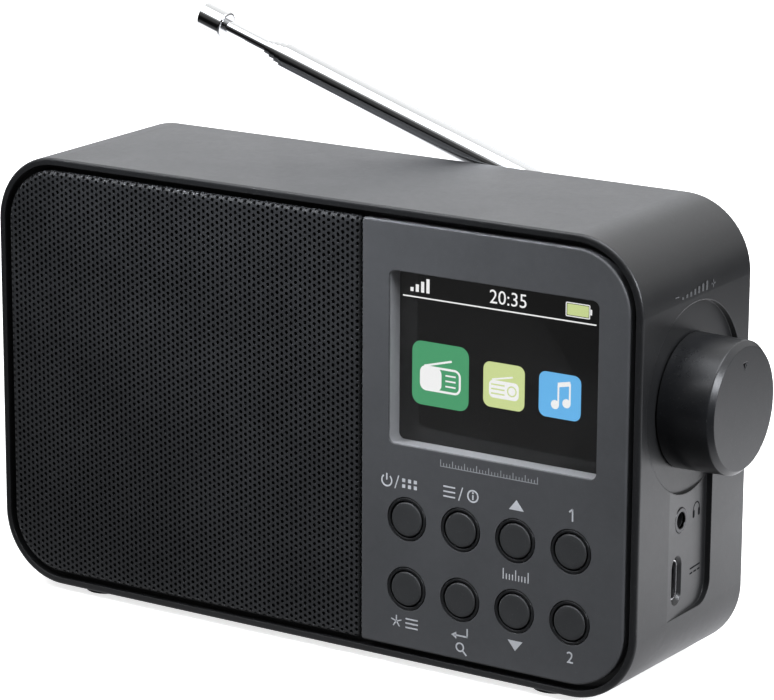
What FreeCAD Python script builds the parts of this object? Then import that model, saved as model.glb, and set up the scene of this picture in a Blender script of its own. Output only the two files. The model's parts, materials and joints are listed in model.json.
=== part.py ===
import FreeCAD, Part
import math
import os

from FreeCAD import Vector

# A portable tabletop radio, in millimetres. X is to the right as the front is looked at,
# Y runs from the front to the back, Z is up. Everything is drawn about the middle of the
# case and moved at the end, so that the origin is under the middle of the whole object.

# Case
case_width = 170.0
case_front_height = 101.8
case_rear_growth = 1.2
case_depth = 48.3
case_corner_radius = 16.2
case_wall = 2.4
front_edge_radius = 0.7
rear_edge_radius = 1.0
rim_width = 1.6
groove_width = 1.4
front_recess_depth = 2.4
baffle_thickness = 2.0

# Rear cover
cover_thickness = 2.5
cover_sunk = 0.3
cover_ledge = 1.0
cover_clearance = 0.15
vent_count = 6
vent_length = 26.0
vent_height = 1.8
vent_end_radius = 0.89
vent_pitch = 4.6
plate_recess_width = 46.0
plate_recess_height = 16.0
plate_recess_depth = 0.3
plate_recess_radius = 1.5

# Front: panel, grille, window
panel_width = 66.4
seam_gap = 0.5
panel_proud = 0.2
panel_edge_radius = 0.5
inner_corner_radius = 0.8
grille_sheet = 0.8
grille_edge_radius = 1.1
scrim_thickness = 0.3
scrim_margin = 1.2
window_width = 52.15
window_height = 38.8
window_corner_radius = 1.6
window_offset_x = -0.14
window_centre_z = 17.8
window_depth = 4.3
collar_wall = 1.2
collar_clearance = 0.6

# Display behind the window
lens_overlap = 1.6
lens_thickness = 1.0
display_width = 60.3
display_height = 42.7
display_thickness = 2.6
bracket_thickness = 1.0
bracket_post_spacing_x = 40.0
bracket_post_margin = 3.2
bracket_post_radius = 2.5
bracket_hole_width = 30.0
bracket_hole_height = 22.0
bracket_hole_radius = 2.0
bracket_rim_x = 3.5
bracket_rim_z = 3.0
bracket_corner_radius = 1.5
display_corner_radius = 0.6

# Buttons
button_columns = 4
button_column_pitch = 13.79
button_row_pitch = 15.92
button_offset_x = -0.55
button_top_row_z = -18.2
button_hole_radius = 5.0
bezel_clearance = 0.12
bezel_inner_radius = 4.4
bezel_proud = 0.1
bezel_edge_radius = 0.15
cap_radius = 4.05
cap_proud = 0.2
cap_edge_radius = 0.4
button_travel = 0.6
cap_spare_travel = 0.3
stem_radius = 1.9
stem_hole_radius = 2.3
stem_behind_shoulder = 1.05
shoulder_radius = 2.8
shoulder_thickness = 1.0
shoulder_gap = 0.05
plunger_radius = 1.7
plunger_clearance = 0.05
plunger_length = 3.0
plunger_stand_out = 1.0
switch_size = 6.0
switch_height = 3.5
switch_bore_spare = 0.2

# Boards and their screws
board_thickness = 1.6
board_post_radius = 2.2
screw_radius = 1.0
screw_length = 5.0
screw_head_radius = 1.9
screw_head_height = 1.2
screw_end_room = 0.1
screw_clearance = 0.02
board_hole_clearance = 0.15
board_corner_radius = 1.0
screw_slot_length = 2.4
screw_slot_width = 0.5
screw_slot_depth = 0.7
control_board_width = 59.0
control_board_height = 24.2
control_post_inset_x = 2.9
control_post_inset_z = 3.2
main_board_width = 68.0
main_board_height = 46.0
main_board_left_of_panel = 50.8
main_board_above_cell = 15.0
main_board_gap = 7.75
main_post_inset = 4.0
side_board_front = -9.6
side_board_rear = 9.4
side_board_bottom = -34.0
side_board_top = 21.0

# Rear cover screws
cover_screw_radius = 1.45
cover_screw_length = 9.0
cover_screw_head_radius = 2.7
cover_screw_head_height = 1.4
cover_screw_head_sunk = 0.2
cover_screw_end_room = 1.0
cover_screw_slot_length = 3.2
cover_screw_slot_width = 0.7
cover_screw_slot_depth = 0.9
boss_radius = 3.4
boss_from_outside = 5.1

# Speaker
speaker_radius = 33.0
speaker_flange = 1.6
speaker_ear_radius = 4.0
speaker_ear_beyond = 2.0
speaker_screw_skin = 0.5
baffle_opening_inside = 3.4
cone_edge_inside = 9.0
cone_neck_radius = 7.0
cone_depth = 10.0
cone_thickness = 0.5
cone_edge_bevel = 1.4
coil_former_wall = 0.4
coil_former_past_basket = 4.0
dust_cap_overlap = 2.0
dust_cap_rise = 3.0
dust_cap_sheet = 0.4
surround_thickness = 0.4
surround_lip = 1.9
surround_roll_width = 3.5
surround_inner_lip = 1.5
surround_lip_clearance = 0.1
basket_wall = 1.2
basket_depth = 18.0
basket_plate = 1.5
basket_window_width = 12.0
basket_window_front = 2.5
basket_window_back = 3.0
ledge_depth = 0.5
magnet_radius = 17.0
magnet_height = 10.0
magnet_gap_depth = 6.0
magnet_gap_inside = 1.0
magnet_gap_outside = 0.8
basket_windows = 4

# Knob, encoder and the recess they sit in
knob_y = -0.8
knob_z = 12.2
knob_recess_y = -0.7
knob_recess_z = 12.9
knob_recess_radius = 21.05
knob_recess_depth = 1.4
knob_gap = 0.4
knob_length = 12.9
knob_base_radius = 14.8
knob_lip_radius = 14.55
knob_chamfer_depth = 1.1
knob_chamfer_length = 1.2
knob_lip_edge_radius = 0.35
knob_cavity_radius = 8.5
knob_cavity_depth = 4.5
knob_mark_height = 10.1
knob_mark_half_width = 1.1
knob_mark_length = 1.87
knob_mark_depth = 0.3
shaft_radius = 3.0
shaft_flat = 0.6
shaft_clearance = 0.05
shaft_end_wall = 3.0
bush_radius = 3.5
bush_length = 5.0
bush_hole_clearance = 0.1
encoder_size = 12.0
encoder_height = 6.5
encoder_back_wall = 1.0
encoder_shaft_end_gap = 0.1
nut_across_flats = 10.0
nut_height = 2.0
side_pad = 1.2
side_pad_margin = 0.7
side_pad_into_wall = 0.2

# Socket pocket, headphone socket and USB-C inlet
pocket_front_y = -10.65
pocket_rear_y = 8.45
pocket_bottom_z = -34.9
pocket_corner_radius = 5.0
pocket_pad_margin = 3.0
jack_y = -4.8
jack_z = -13.5
jack_ring_radius = 2.8
jack_bore_radius = 1.8
jack_ring_length = 0.7
jack_ring_proud = 0.2
jack_ring_edge_radius = 0.2
jack_hole_clearance = 0.05
jack_body_width = 7.0
jack_body_height = 8.0
jack_bore_depth = 13.8
jack_end_wall = 0.8
jack_flange_overlap = 1.0
jack_flange_thickness = 1.5
jack_board_clearance = 0.1
usb_y = -6.1
usb_z = -26.7
usb_width = 3.26
usb_height = 8.94
usb_shell = 0.3
usb_back_wall = 1.0
usb_sunk = 0.9
usb_hole_clearance = 0.15
usb_bevel_width = 4.9
usb_bevel_height = 10.9
usb_bevel_depth = 0.9
tongue_thickness = 0.7
tongue_height = 6.7
tongue_sunk = 0.9

# Antenna
antenna_pivot_from_side = 17.0
antenna_pivot_below_top = 17.6
antenna_behind_case = 3.85
antenna_rest_angle = 18.3
antenna_outer_radius = 3.3
antenna_radius_step = 0.46
antenna_tube_clearance = 0.08
antenna_sections = 5
antenna_tube_start = 9.0
antenna_tube_end = 114.0
antenna_section_step = 1.75
antenna_rod_stand_out = 12.7
antenna_rod_into_tip = 4.0
antenna_root_wall = 2.0
antenna_tip_radius = 3.2
antenna_tip_length = 6.7
antenna_tip_edge_radius = 0.45
antenna_start_step = 0.5
tongue_plate = 3.0
tongue_side_gap = 0.15
ear_plate = 1.4
knuckle_radius = 2.6
knuckle_clearance = 0.1
hinge_pin_radius = 1.0
hinge_pin_clearance = 0.05
turret_radius = 6.5
turret_gap = 0.2
turret_stem_radius = 3.0
turret_stem_clearance = 0.05
turret_screw_radius = 1.5
turret_screw_head_radius = 5.0
turret_screw_head_height = 2.0
turret_screw_length = 3.0
turret_screw_overlap = 0.5

# Battery and its holder
cell_radius = 9.2
cell_length = 65.0
cell_nub_radius = 3.0
cell_nub_length = 0.8
cell_centre_x = 32.0
cell_above_bottom = 14.9
cell_clearance = 0.05
cell_end_room = 0.5
holder_wall = 1.4
holder_wrap = 6.5
cell_gap_to_cover = 1.6

# Blocks on the main board: offset from its middle along X and Z, size along X and Z, height, corner radius
board_blocks = [(-16.0, 6.0, 24.0, 20.0, 3.0, 1.0),
                (6.0, -8.0, 10.0, 10.0, 1.2, 0.4),
                (20.0, -8.0, 7.0, 7.0, 1.2, 0.4)]
ribbon_connector_height = 2.0
ribbon_connector_rim = 1.5
ribbon_connector_size_z = 4.0
connector_corner_radius = 0.4

# Feet and leads
foot_radius = 5.0
foot_proud = 0.9
foot_into_case = 2.0
foot_edge_radius = 0.3
foot_x = 61.0
foot_y = 16.5
ribbon_width = 12.0
ribbon_thickness = 0.3
lead_radius = 0.6
lead_spacing = 3.0
lead_straight = 5.0
connector_left = 2.5
connector_height = 5.0
terminal_reach = 3.0
terminal_thickness = 1.5
connector_width = 5.0
connector_half_length = 4.0
lead_below_middle = 10.0

# How far a cutting tool reaches past the face it cuts, and how far joined solids overlap
past = 2.0
overlap = 0.5

# Places worked out from the sizes above
case_rear_height = case_front_height + case_rear_growth
front_y = -case_depth / 2
rear_y = case_depth / 2
right_x = case_width / 2
recess_floor_y = front_y + front_recess_depth
baffle_back_y = recess_floor_y + baffle_thickness
cover_face_y = rear_y - cover_sunk
cover_inner_y = cover_face_y - cover_thickness
panel_face_y = front_y - panel_proud
inner_edge = rim_width + groove_width
panel_right_x = right_x - inner_edge
panel_left_x = panel_right_x - panel_width
panel_half_height = case_front_height / 2 - inner_edge
grille_left_x = -panel_right_x
grille_right_x = panel_left_x - seam_gap
panel_corner_radius = case_corner_radius - inner_edge
panel_centre_x = (panel_left_x + panel_right_x) / 2
window_x = panel_centre_x + window_offset_x
lens_front_y = panel_face_y + window_depth
lens_width = window_width + 2 * lens_overlap
lens_height = window_height + 2 * lens_overlap
display_front_y = lens_front_y + lens_thickness
display_back_y = display_front_y + display_thickness
bracket_back_y = display_back_y + bracket_thickness
bracket_post_spacing_z = display_height + 2 * bracket_post_margin
cap_face_y = panel_face_y - cap_proud
cap_back_y = recess_floor_y - button_travel - cap_spare_travel
shoulder_front_y = baffle_back_y + shoulder_gap
stem_end_y = shoulder_front_y + shoulder_thickness + stem_behind_shoulder
switch_front_y = stem_end_y + plunger_stand_out
control_board_y = switch_front_y + switch_height
control_board_x = panel_centre_x + button_offset_x
control_board_z = button_top_row_z - button_row_pitch / 2
cell_centre_z = cell_above_bottom - case_front_height / 2
main_board_left = panel_centre_x - main_board_left_of_panel
main_board_bottom = cell_centre_z + main_board_above_cell
main_board_back_y = cover_inner_y - main_board_gap
main_board_front_y = main_board_back_y - board_thickness
speaker_x = (grille_left_x + grille_right_x) / 2
speaker_ear_circle = speaker_radius + speaker_ear_beyond
baffle_opening_radius = speaker_radius - baffle_opening_inside
cone_edge_radius = speaker_radius - cone_edge_inside
surround_radius = cone_edge_radius + surround_roll_width
ledge_back_y = baffle_back_y + speaker_flange - ledge_depth
basket_back_y = baffle_back_y + basket_depth
speaker_screw_end_y = recess_floor_y + speaker_screw_skin
terminal_x = speaker_x + magnet_radius + terminal_reach
lead_z = main_board_bottom + main_board_height / 2 - lead_below_middle
recess_floor_x = right_x - knob_recess_depth
pad_x = right_x - case_wall - side_pad
encoder_back_x = pad_x - encoder_height
knob_start_x = recess_floor_x + knob_gap
knob_face_x = knob_start_x + knob_length
pivot_x = right_x - antenna_pivot_from_side
pivot_y = rear_y + antenna_behind_case
pivot_z = case_rear_height / 2 - antenna_pivot_below_top
rest = math.radians(antenna_rest_angle)
along = Vector(-math.cos(rest), 0, math.sin(rest))
across = Vector(math.sin(rest), 0, math.cos(rest))
backward = Vector(0, 1, 0)
cell_y = cover_inner_y - cell_gap_to_cover - cell_radius
boss_reach = (case_corner_radius - boss_from_outside) / math.sqrt(2)
boss_x = right_x - case_corner_radius + boss_reach
boss_z = case_front_height / 2 - case_corner_radius + boss_reach
floor_z = -case_rear_height / 2 - foot_proud
origin_x = (knob_face_x - right_x) / 2
origin_y = (cap_face_y + pivot_y + antenna_outer_radius) / 2


# Drawing helpers
def box(x0, x1, y0, y1, z0, z1):
    return Part.makeBox(x1 - x0, y1 - y0, z1 - z0, Vector(x0, y0, z0))


def rod_y(x, z, radius, y0, y1):
    return Part.makeCylinder(radius, y1 - y0, Vector(x, y0, z), Vector(0, 1, 0))


def rod_x(y, z, radius, x0, x1):
    return Part.makeCylinder(radius, x1 - x0, Vector(x0, y, z), Vector(1, 0, 0))


def rods_y(places, radius, y0, y1):
    return [rod_y(x, z, radius, y0, y1) for x, z in places]


def cross_slot(x, z, length, width, y0, y1):
    """Two crossed bars that cut a screw's head."""
    return [box(x - length / 2, x + length / 2, y0, y1, z - width / 2, z + width / 2),
            box(x - width / 2, x + width / 2, y0, y1, z - length / 2, z + length / 2)]


def outline(x0, x1, z0, z1, y, left_radius, right_radius):
    """A closed outline facing along Y, with its own corner radius on each side."""
    corners = [(x1 - right_radius, z0 + right_radius, right_radius, -90),
               (x1 - right_radius, z1 - right_radius, right_radius, 0),
               (x0 + left_radius, z1 - left_radius, left_radius, 90),
               (x0 + left_radius, z0 + left_radius, left_radius, 180)]
    arcs = []
    for x, z, radius, start in corners:
        angles = [math.radians(start + turn) for turn in (0, 45, 90)]
        arcs.append([Vector(x + radius * math.cos(a), y, z + radius * math.sin(a)) for a in angles])
    edges = []
    for number, arc in enumerate(arcs):
        edges.append(Part.Arc(*arc).toShape())
        edges.append(Part.makeLine(arc[2], arcs[(number + 1) % len(arcs)][0]))
    return Part.Wire(edges)


def plate(x0, x1, z0, z1, y0, y1, left_radius, right_radius=None):
    right_radius = left_radius if right_radius is None else right_radius
    face = Part.Face(outline(x0, x1, z0, z1, y0, left_radius, right_radius))
    return face.extrude(Vector(0, y1 - y0, 0))


def plate_about(x, z, width, height, y0, y1, radius):
    return plate(x - width / 2, x + width / 2, z - height / 2, z + height / 2, y0, y1, radius)


def case_outline(y, inset):
    growth = (case_rear_height - case_front_height) / 2
    half_height = case_front_height / 2 + growth * (y - front_y) / case_depth - inset
    half_width = right_x - inset
    radius = case_corner_radius - inset
    return outline(-half_width, half_width, -half_height, half_height, y, radius, radius)


def case_block(y0, y1, inset):
    """The drafted outside form of the case, made smaller all round by inset."""
    return Part.makeLoft([case_outline(y0, inset), case_outline(y1, inset)], True, True)


def stadium(x, y, z, width, height):
    """An outline facing along X: straight sides along Z with round ends."""
    radius = width / 2
    straight = height / 2 - radius
    low, high = z - straight, z + straight
    right_low, right_high = Vector(x, y + radius, low), Vector(x, y + radius, high)
    left_low, left_high = Vector(x, y - radius, low), Vector(x, y - radius, high)
    top = Part.Arc(right_high, Vector(x, y, high + radius), left_high)
    bottom = Part.Arc(left_low, Vector(x, y, low - radius), right_low)
    return Part.Wire([Part.makeLine(right_low, right_high), top.toShape(),
                      Part.makeLine(left_high, left_low), bottom.toShape()])


def stadium_bar(y, z, width, height, x0, x1):
    return Part.Face(stadium(x0, y, z, width, height)).extrude(Vector(x1 - x0, 0, 0))


def turned(points, x, z):
    """A solid turned about an axis along Y; points are (radius, y)."""
    corners = [Vector(x + radius, y, z) for radius, y in points]
    wire = Part.makePolygon(corners + corners[:1])
    return Part.Face(wire).revolve(Vector(x, 0, z), Vector(0, 1, 0), 360)


def knob_turned(points):
    """A solid turned about the knob's axis; points are (x, radius)."""
    corners = [Vector(x, knob_y, knob_z + radius) for x, radius in points]
    wire = Part.makePolygon(corners + corners[:1])
    return Part.Face(wire).revolve(Vector(0, knob_y, knob_z), Vector(1, 0, 0), 360)


def edges_at_y(shape, y):
    return [e for e in shape.Edges if all(abs(v.Y - y) < 1e-4 for v in e.Vertexes)]


def edges_at_x(shape, x):
    return [e for e in shape.Edges if all(abs(v.X - x) < 1e-4 for v in e.Vertexes)]


def joined(shapes):
    whole = shapes[0]
    for shape in shapes[1:]:
        whole = whole.fuse(shape)
    return whole.removeSplitter()


def cable(points, radius):
    """Round wire along straight runs joined by arcs as large as the runs allow."""
    edges = []
    last = points[0]
    for before, corner, after in zip(points, points[1:], points[2:]):
        run_in, run_out = corner - before, after - corner
        turn = run_in.getAngle(run_out)
        reach = 0.45 * min(run_in.Length, run_out.Length)
        back, ahead = Vector(run_in).normalize(), Vector(run_out).normalize()
        start, end = corner - back * reach, corner + ahead * reach
        bend = reach / math.tan(turn / 2)
        inward = (ahead - back).normalize()
        middle = corner + inward * (math.hypot(bend, reach) - bend)
        if turn < 1e-6:
            continue
        edges.append(Part.makeLine(last, start))
        edges.append(Part.Arc(start, middle, end).toShape())
        last = end
    edges.append(Part.makeLine(last, points[-1]))
    path = Part.Wire(edges)
    section = Part.Wire([Part.makeCircle(radius, points[0], points[1] - points[0])])
    return path.makePipeShell([section], True, True)


# Repeated places
def four_about(x, z, half_x, half_z):
    return [(x + i * half_x, z + k * half_z) for i in (-1, 1) for k in (-1, 1)]


def button_places():
    first_x = panel_centre_x + button_offset_x - button_column_pitch * (button_columns - 1) / 2
    rows = (button_top_row_z, button_top_row_z - button_row_pitch)
    columns = [first_x + number * button_column_pitch for number in range(button_columns)]
    return [(x, z) for z in rows for x in columns]


def bracket_places():
    return four_about(window_x, window_centre_z, bracket_post_spacing_x / 2, bracket_post_spacing_z / 2)


def control_places():
    return four_about(control_board_x, control_board_z, control_board_width / 2 - control_post_inset_x,
                      control_board_height / 2 - control_post_inset_z)


def main_places():
    return four_about(main_board_left + main_board_width / 2, main_board_bottom + main_board_height / 2,
                      main_board_width / 2 - main_post_inset, main_board_height / 2 - main_post_inset)


def boss_places():
    return four_about(0, 0, boss_x, boss_z)


def ear_places():
    reach = speaker_ear_circle / math.sqrt(2)
    return four_about(speaker_x, 0, reach, reach)


def foot_places():
    return four_about(0, 0, foot_x, foot_y)


# Case
def side_openings():
    """What is cut into the right side: knob recess, socket pocket and three through holes."""
    outside = right_x + past
    recess = rod_x(knob_recess_y, knob_recess_z, knob_recess_radius, recess_floor_x, outside)
    corners = [Vector(right_x, pocket_front_y, pocket_bottom_z),
               Vector(outside, pocket_front_y, pocket_bottom_z),
               Vector(outside, pocket_rear_y, pocket_bottom_z),
               Vector(recess_floor_x, pocket_rear_y, pocket_bottom_z)]
    wedge = Part.Face(Part.makePolygon(corners + corners[:1]))
    wedge = wedge.extrude(Vector(0, 0, knob_recess_z - pocket_bottom_z))
    corner = [e for e in wedge.Edges if all(abs(v.Y - pocket_rear_y) < 1e-4
                                            and abs(v.Z - pocket_bottom_z) < 1e-4 for v in e.Vertexes)]
    wedge = wedge.makeFillet(pocket_corner_radius, corner)
    inside = pad_x - past
    bush = rod_x(knob_y, knob_z, bush_radius + bush_hole_clearance, inside, outside)
    jack = rod_x(jack_y, jack_z, jack_ring_radius + jack_hole_clearance, inside, outside)
    hole_width = usb_width + 2 * usb_hole_clearance
    hole_height = usb_height + 2 * usb_hole_clearance
    usb = stadium_bar(usb_y, usb_z, hole_width, hole_height, inside, outside)
    floor = socket_floor_x(usb_y)
    narrow = stadium(floor - usb_bevel_depth, usb_y, usb_z, hole_width, hole_height)
    wide = stadium(floor + usb_bevel_depth, usb_y, usb_z, 2 * usb_bevel_width - usb_width,
                   2 * usb_bevel_height - usb_height)
    bevel = Part.makeLoft([narrow, wide], True, True)
    return [recess, wedge, bush, jack, usb, bevel]


def socket_floor_x(y):
    """How far out the sloping floor of the socket pocket lies at y."""
    slope = knob_recess_depth / (pocket_rear_y - pocket_front_y)
    return right_x - slope * (y - pocket_front_y)


def make_side_pads():
    """The thicker wall behind the knob recess and the socket pocket."""
    outer_x = recess_floor_x - side_pad_into_wall
    round_pad = rod_x(knob_recess_y, knob_recess_z, knob_recess_radius + side_pad_margin, pad_x, outer_x)
    socket_pad = box(pad_x, outer_x, pocket_front_y - pocket_pad_margin, pocket_rear_y + pocket_pad_margin,
                     pocket_bottom_z - pocket_pad_margin, knob_recess_z)
    inside = box(0, right_x, baffle_back_y - overlap, cover_inner_y, -case_front_height / 2,
                 case_front_height / 2)
    return round_pad.fuse(socket_pad).common(inside)


def make_main_shell():
    shell = case_block(front_y, rear_y, 0)
    shell = shell.makeFillet(front_edge_radius, edges_at_y(shell, front_y))
    shell = shell.makeFillet(rear_edge_radius, edges_at_y(shell, rear_y))
    shell = shell.cut(case_block(front_y - past, recess_floor_y, rim_width))
    shell = shell.cut(case_block(baffle_back_y, rear_y + past, case_wall))
    shell = shell.cut(case_block(cover_inner_y, rear_y + past, case_wall - cover_ledge))
    additions = [shell, make_side_pads()]
    start_y = baffle_back_y - overlap
    additions += rods_y(boss_places(), boss_radius, start_y, cover_inner_y)
    additions += rods_y(bracket_places(), bracket_post_radius, start_y, display_back_y)
    additions += rods_y(control_places(), board_post_radius, start_y, control_board_y)
    shell = joined(additions)
    tools = side_openings()
    through = (front_y, baffle_back_y + past)
    tools.append(rod_y(speaker_x, 0, baffle_opening_radius, *through))
    tools.append(plate_about(window_x, window_centre_z, lens_width + collar_clearance,
                             lens_height + collar_clearance, *through, window_corner_radius))
    tools += rods_y(button_places(), stem_hole_radius, *through)
    bore = screw_radius + screw_clearance
    tools += rods_y(boss_places(), cover_screw_radius + screw_clearance, cover_inner_y - cover_screw_length,
                    rear_y)
    tools += rods_y(bracket_places(), bore, bracket_back_y - screw_length, rear_y)
    tools += rods_y(control_places(), bore, control_board_y + board_thickness - screw_length, rear_y)
    tools += rods_y(ear_places(), bore, speaker_screw_end_y - screw_end_room, rear_y)
    return shell.cut(tools)


def make_rear_cover():
    inset = case_wall - cover_ledge + cover_clearance
    cover = case_block(cover_inner_y, cover_face_y, inset)
    posts = rods_y(main_places(), bracket_post_radius, main_board_back_y, cover_inner_y + overlap)
    cover = joined([cover] + posts)
    outside = cover_face_y + past
    tools = rods_y(boss_places(), cover_screw_radius + 2 * screw_clearance, cover_inner_y - past, outside)
    tools += rods_y(boss_places(), cover_screw_head_radius + board_hole_clearance,
                    cover_face_y - cover_screw_head_height, outside)
    tools += rods_y(main_places(), screw_radius + screw_clearance, main_board_back_y - past,
                    main_board_front_y + screw_length)
    for number in range(vent_count):
        z = (number - (vent_count - 1) / 2) * vent_pitch
        tools.append(plate_about(speaker_x, z, vent_length, vent_height, cover_inner_y - past, outside,
                                 vent_end_radius))
    tools.append(plate_about(cell_centre_x, cell_centre_z + cell_radius, plate_recess_width,
                             plate_recess_height, cover_face_y - plate_recess_depth, outside,
                             plate_recess_radius))
    tools.append(rod_y(pivot_x, pivot_z, turret_stem_radius + turret_stem_clearance,
                       cover_inner_y - past, outside))
    return cover.cut(tools)


def make_rear_cover_screws():
    head_y = cover_face_y - cover_screw_head_height
    end_y = cover_inner_y - cover_screw_length + cover_screw_end_room
    screws = []
    for x, z in boss_places():
        shank = rod_y(x, z, cover_screw_radius, end_y, head_y + overlap / 2)
        head = rod_y(x, z, cover_screw_head_radius, head_y, cover_face_y - cover_screw_head_sunk)
        slot = cross_slot(x, z, cover_screw_slot_length, cover_screw_slot_width,
                          cover_face_y - cover_screw_slot_depth, rear_y)
        screws.append(shank.fuse(head).cut(slot))
    return Part.makeCompound(screws)


def make_rubber_feet():
    outside = case_block(front_y, rear_y, 0)
    feet = []
    for x, y in foot_places():
        foot = Part.makeCylinder(foot_radius, foot_proud + foot_into_case, Vector(x, y, floor_z))
        rim = [e for e in foot.Edges if abs(e.BoundBox.ZMax - floor_z) < 1e-4]
        feet.append(foot.makeFillet(foot_edge_radius, rim).cut(outside))
    return Part.makeCompound(feet)


# Front
def make_front_panel():
    panel = plate(panel_left_x, panel_right_x, -panel_half_height, panel_half_height,
                  panel_face_y, recess_floor_y, inner_corner_radius, panel_corner_radius)
    panel = panel.makeFillet(panel_edge_radius, edges_at_y(panel, panel_face_y))
    collar = plate_about(window_x, window_centre_z, window_width + 2 * collar_wall,
                         window_height + 2 * collar_wall, recess_floor_y - overlap, lens_front_y,
                         window_corner_radius + collar_wall)
    panel = joined([panel, collar])
    tools = [plate_about(window_x, window_centre_z, window_width, window_height,
                         front_y - past, lens_front_y + past, window_corner_radius)]
    tools += rods_y(button_places(), button_hole_radius, front_y - past, recess_floor_y + past)
    return panel.cut(tools)


def make_speaker_grille():
    grille = plate(grille_left_x, grille_right_x, -panel_half_height, panel_half_height,
                   panel_face_y, recess_floor_y, panel_corner_radius, inner_corner_radius)
    grille = grille.makeFillet(grille_edge_radius, edges_at_y(grille, panel_face_y))
    hollow = plate(grille_left_x + grille_sheet, grille_right_x - grille_sheet,
                   grille_sheet - panel_half_height, panel_half_height - grille_sheet,
                   panel_face_y + grille_sheet, recess_floor_y + past,
                   panel_corner_radius - grille_sheet, inner_corner_radius / 2)
    return grille.cut(hollow)


def make_speaker_scrim():
    inset = grille_sheet + scrim_margin
    return plate(grille_left_x + inset, grille_right_x - inset, inset - panel_half_height,
                 panel_half_height - inset, recess_floor_y - scrim_thickness, recess_floor_y,
                 panel_corner_radius - inset, inner_corner_radius)


def make_button_bezels():
    rings = []
    for x, z in button_places():
        face_y = panel_face_y - bezel_proud
        ring = rod_y(x, z, button_hole_radius - bezel_clearance, face_y, recess_floor_y)
        ring = ring.cut(rod_y(x, z, bezel_inner_radius, front_y - past, recess_floor_y + past))
        rings.append(ring.makeFillet(bezel_edge_radius, edges_at_y(ring, face_y)))
    return Part.makeCompound(rings)


def make_button(x, z):
    cap = rod_y(x, z, cap_radius, cap_face_y, cap_back_y)
    cap = cap.makeFillet(cap_edge_radius, edges_at_y(cap, cap_face_y))
    stem = rod_y(x, z, stem_radius, cap_back_y - overlap, stem_end_y)
    shoulder = rod_y(x, z, shoulder_radius, shoulder_front_y, shoulder_front_y + shoulder_thickness)
    return joined([cap, stem, shoulder])


def make_plunger(x, z):
    return rod_y(x, z, plunger_radius, stem_end_y, stem_end_y + plunger_length)


def make_switch_bodies():
    half = switch_size / 2
    bore_end = stem_end_y + plunger_length + button_travel + switch_bore_spare
    switches = []
    for x, z in button_places():
        body = box(x - half, x + half, switch_front_y, control_board_y, z - half, z + half)
        bore = rod_y(x, z, plunger_radius + plunger_clearance, switch_front_y - past, bore_end)
        switches.append(body.cut(bore))
    return Part.makeCompound(switches)


# Display
def make_display_lens():
    return plate_about(window_x, window_centre_z, lens_width, lens_height, lens_front_y,
                       display_front_y, window_corner_radius)


def make_display_module():
    return plate_about(window_x, window_centre_z, display_width, display_height,
                       display_front_y, display_back_y, display_corner_radius)


def make_display_bracket():
    bracket = plate_about(window_x, window_centre_z, bracket_post_spacing_x + 2 * bracket_rim_x,
                          bracket_post_spacing_z + 2 * bracket_rim_z, display_back_y, bracket_back_y,
                          bracket_corner_radius)
    tools = [plate_about(window_x, window_centre_z, bracket_hole_width, bracket_hole_height,
                         display_back_y - past, bracket_back_y + past, bracket_hole_radius)]
    tools += rods_y(bracket_places(), screw_radius + board_hole_clearance, display_back_y - past,
                    bracket_back_y + past)
    return bracket.cut(tools)


def make_display_ribbon():
    z = window_centre_z
    return box(window_x - ribbon_width / 2, window_x + ribbon_width / 2, display_back_y,
               main_board_front_y - ribbon_connector_height, z - ribbon_thickness / 2,
               z + ribbon_thickness / 2)


# Boards
def make_control_board():
    back_y = control_board_y + board_thickness
    board = plate_about(control_board_x, control_board_z, control_board_width, control_board_height,
                        control_board_y, back_y, board_corner_radius)
    return board.cut(rods_y(control_places(), screw_radius + board_hole_clearance, control_board_y - past,
                            back_y + past))


def make_main_board():
    board = plate(main_board_left, main_board_left + main_board_width, main_board_bottom,
                  main_board_bottom + main_board_height, main_board_front_y, main_board_back_y,
                  board_corner_radius)
    return board.cut(rods_y(main_places(), screw_radius + board_hole_clearance, main_board_front_y - past,
                            main_board_back_y + past))


def make_main_board_parts():
    """Tuner can, two chips, the ribbon connector and the lead connector on the front face."""
    middle_x = main_board_left + main_board_width / 2
    middle_z = main_board_bottom + main_board_height / 2
    face = main_board_front_y
    blocks = [plate_about(middle_x + x, middle_z + z, width, height, face - thickness, face, radius)
              for x, z, width, height, thickness, radius in board_blocks]
    blocks.append(plate_about(window_x, window_centre_z, ribbon_width + 2 * ribbon_connector_rim,
                              ribbon_connector_size_z, face - ribbon_connector_height, face,
                              connector_corner_radius))
    left = main_board_left + connector_left
    blocks.append(plate(left, left + connector_width, lead_z - connector_half_length,
                        lead_z + connector_half_length, face - connector_height, face,
                        connector_corner_radius))
    return Part.makeCompound(blocks)


def make_side_board():
    board = box(encoder_back_x - board_thickness, encoder_back_x, side_board_front, side_board_rear,
                side_board_bottom, side_board_top)
    half_y = jack_body_width / 2 + jack_board_clearance
    half_z = jack_body_height / 2 + jack_board_clearance
    return board.cut(box(encoder_back_x - board_thickness - past, encoder_back_x + past, jack_y - half_y,
                         jack_y + half_y, jack_z - half_z, jack_z + half_z))


def make_board_screws():
    def screw(x, z, seat_y, direction):
        top_y = seat_y + direction * screw_head_height
        shank = rod_y(x, z, screw_radius, *sorted((seat_y, seat_y - direction * screw_length)))
        head = rod_y(x, z, screw_head_radius, *sorted((seat_y, top_y)))
        deep = sorted((top_y + direction * past, top_y - direction * screw_slot_depth))
        slot = cross_slot(x, z, screw_slot_length, screw_slot_width, *deep)
        return shank.fuse(head).cut(slot).removeSplitter()

    screws = [screw(x, z, bracket_back_y, 1) for x, z in bracket_places()]
    screws += [screw(x, z, control_board_y + board_thickness, 1) for x, z in control_places()]
    screws += [screw(x, z, main_board_front_y, -1) for x, z in main_places()]
    return Part.makeCompound(screws)


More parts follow.
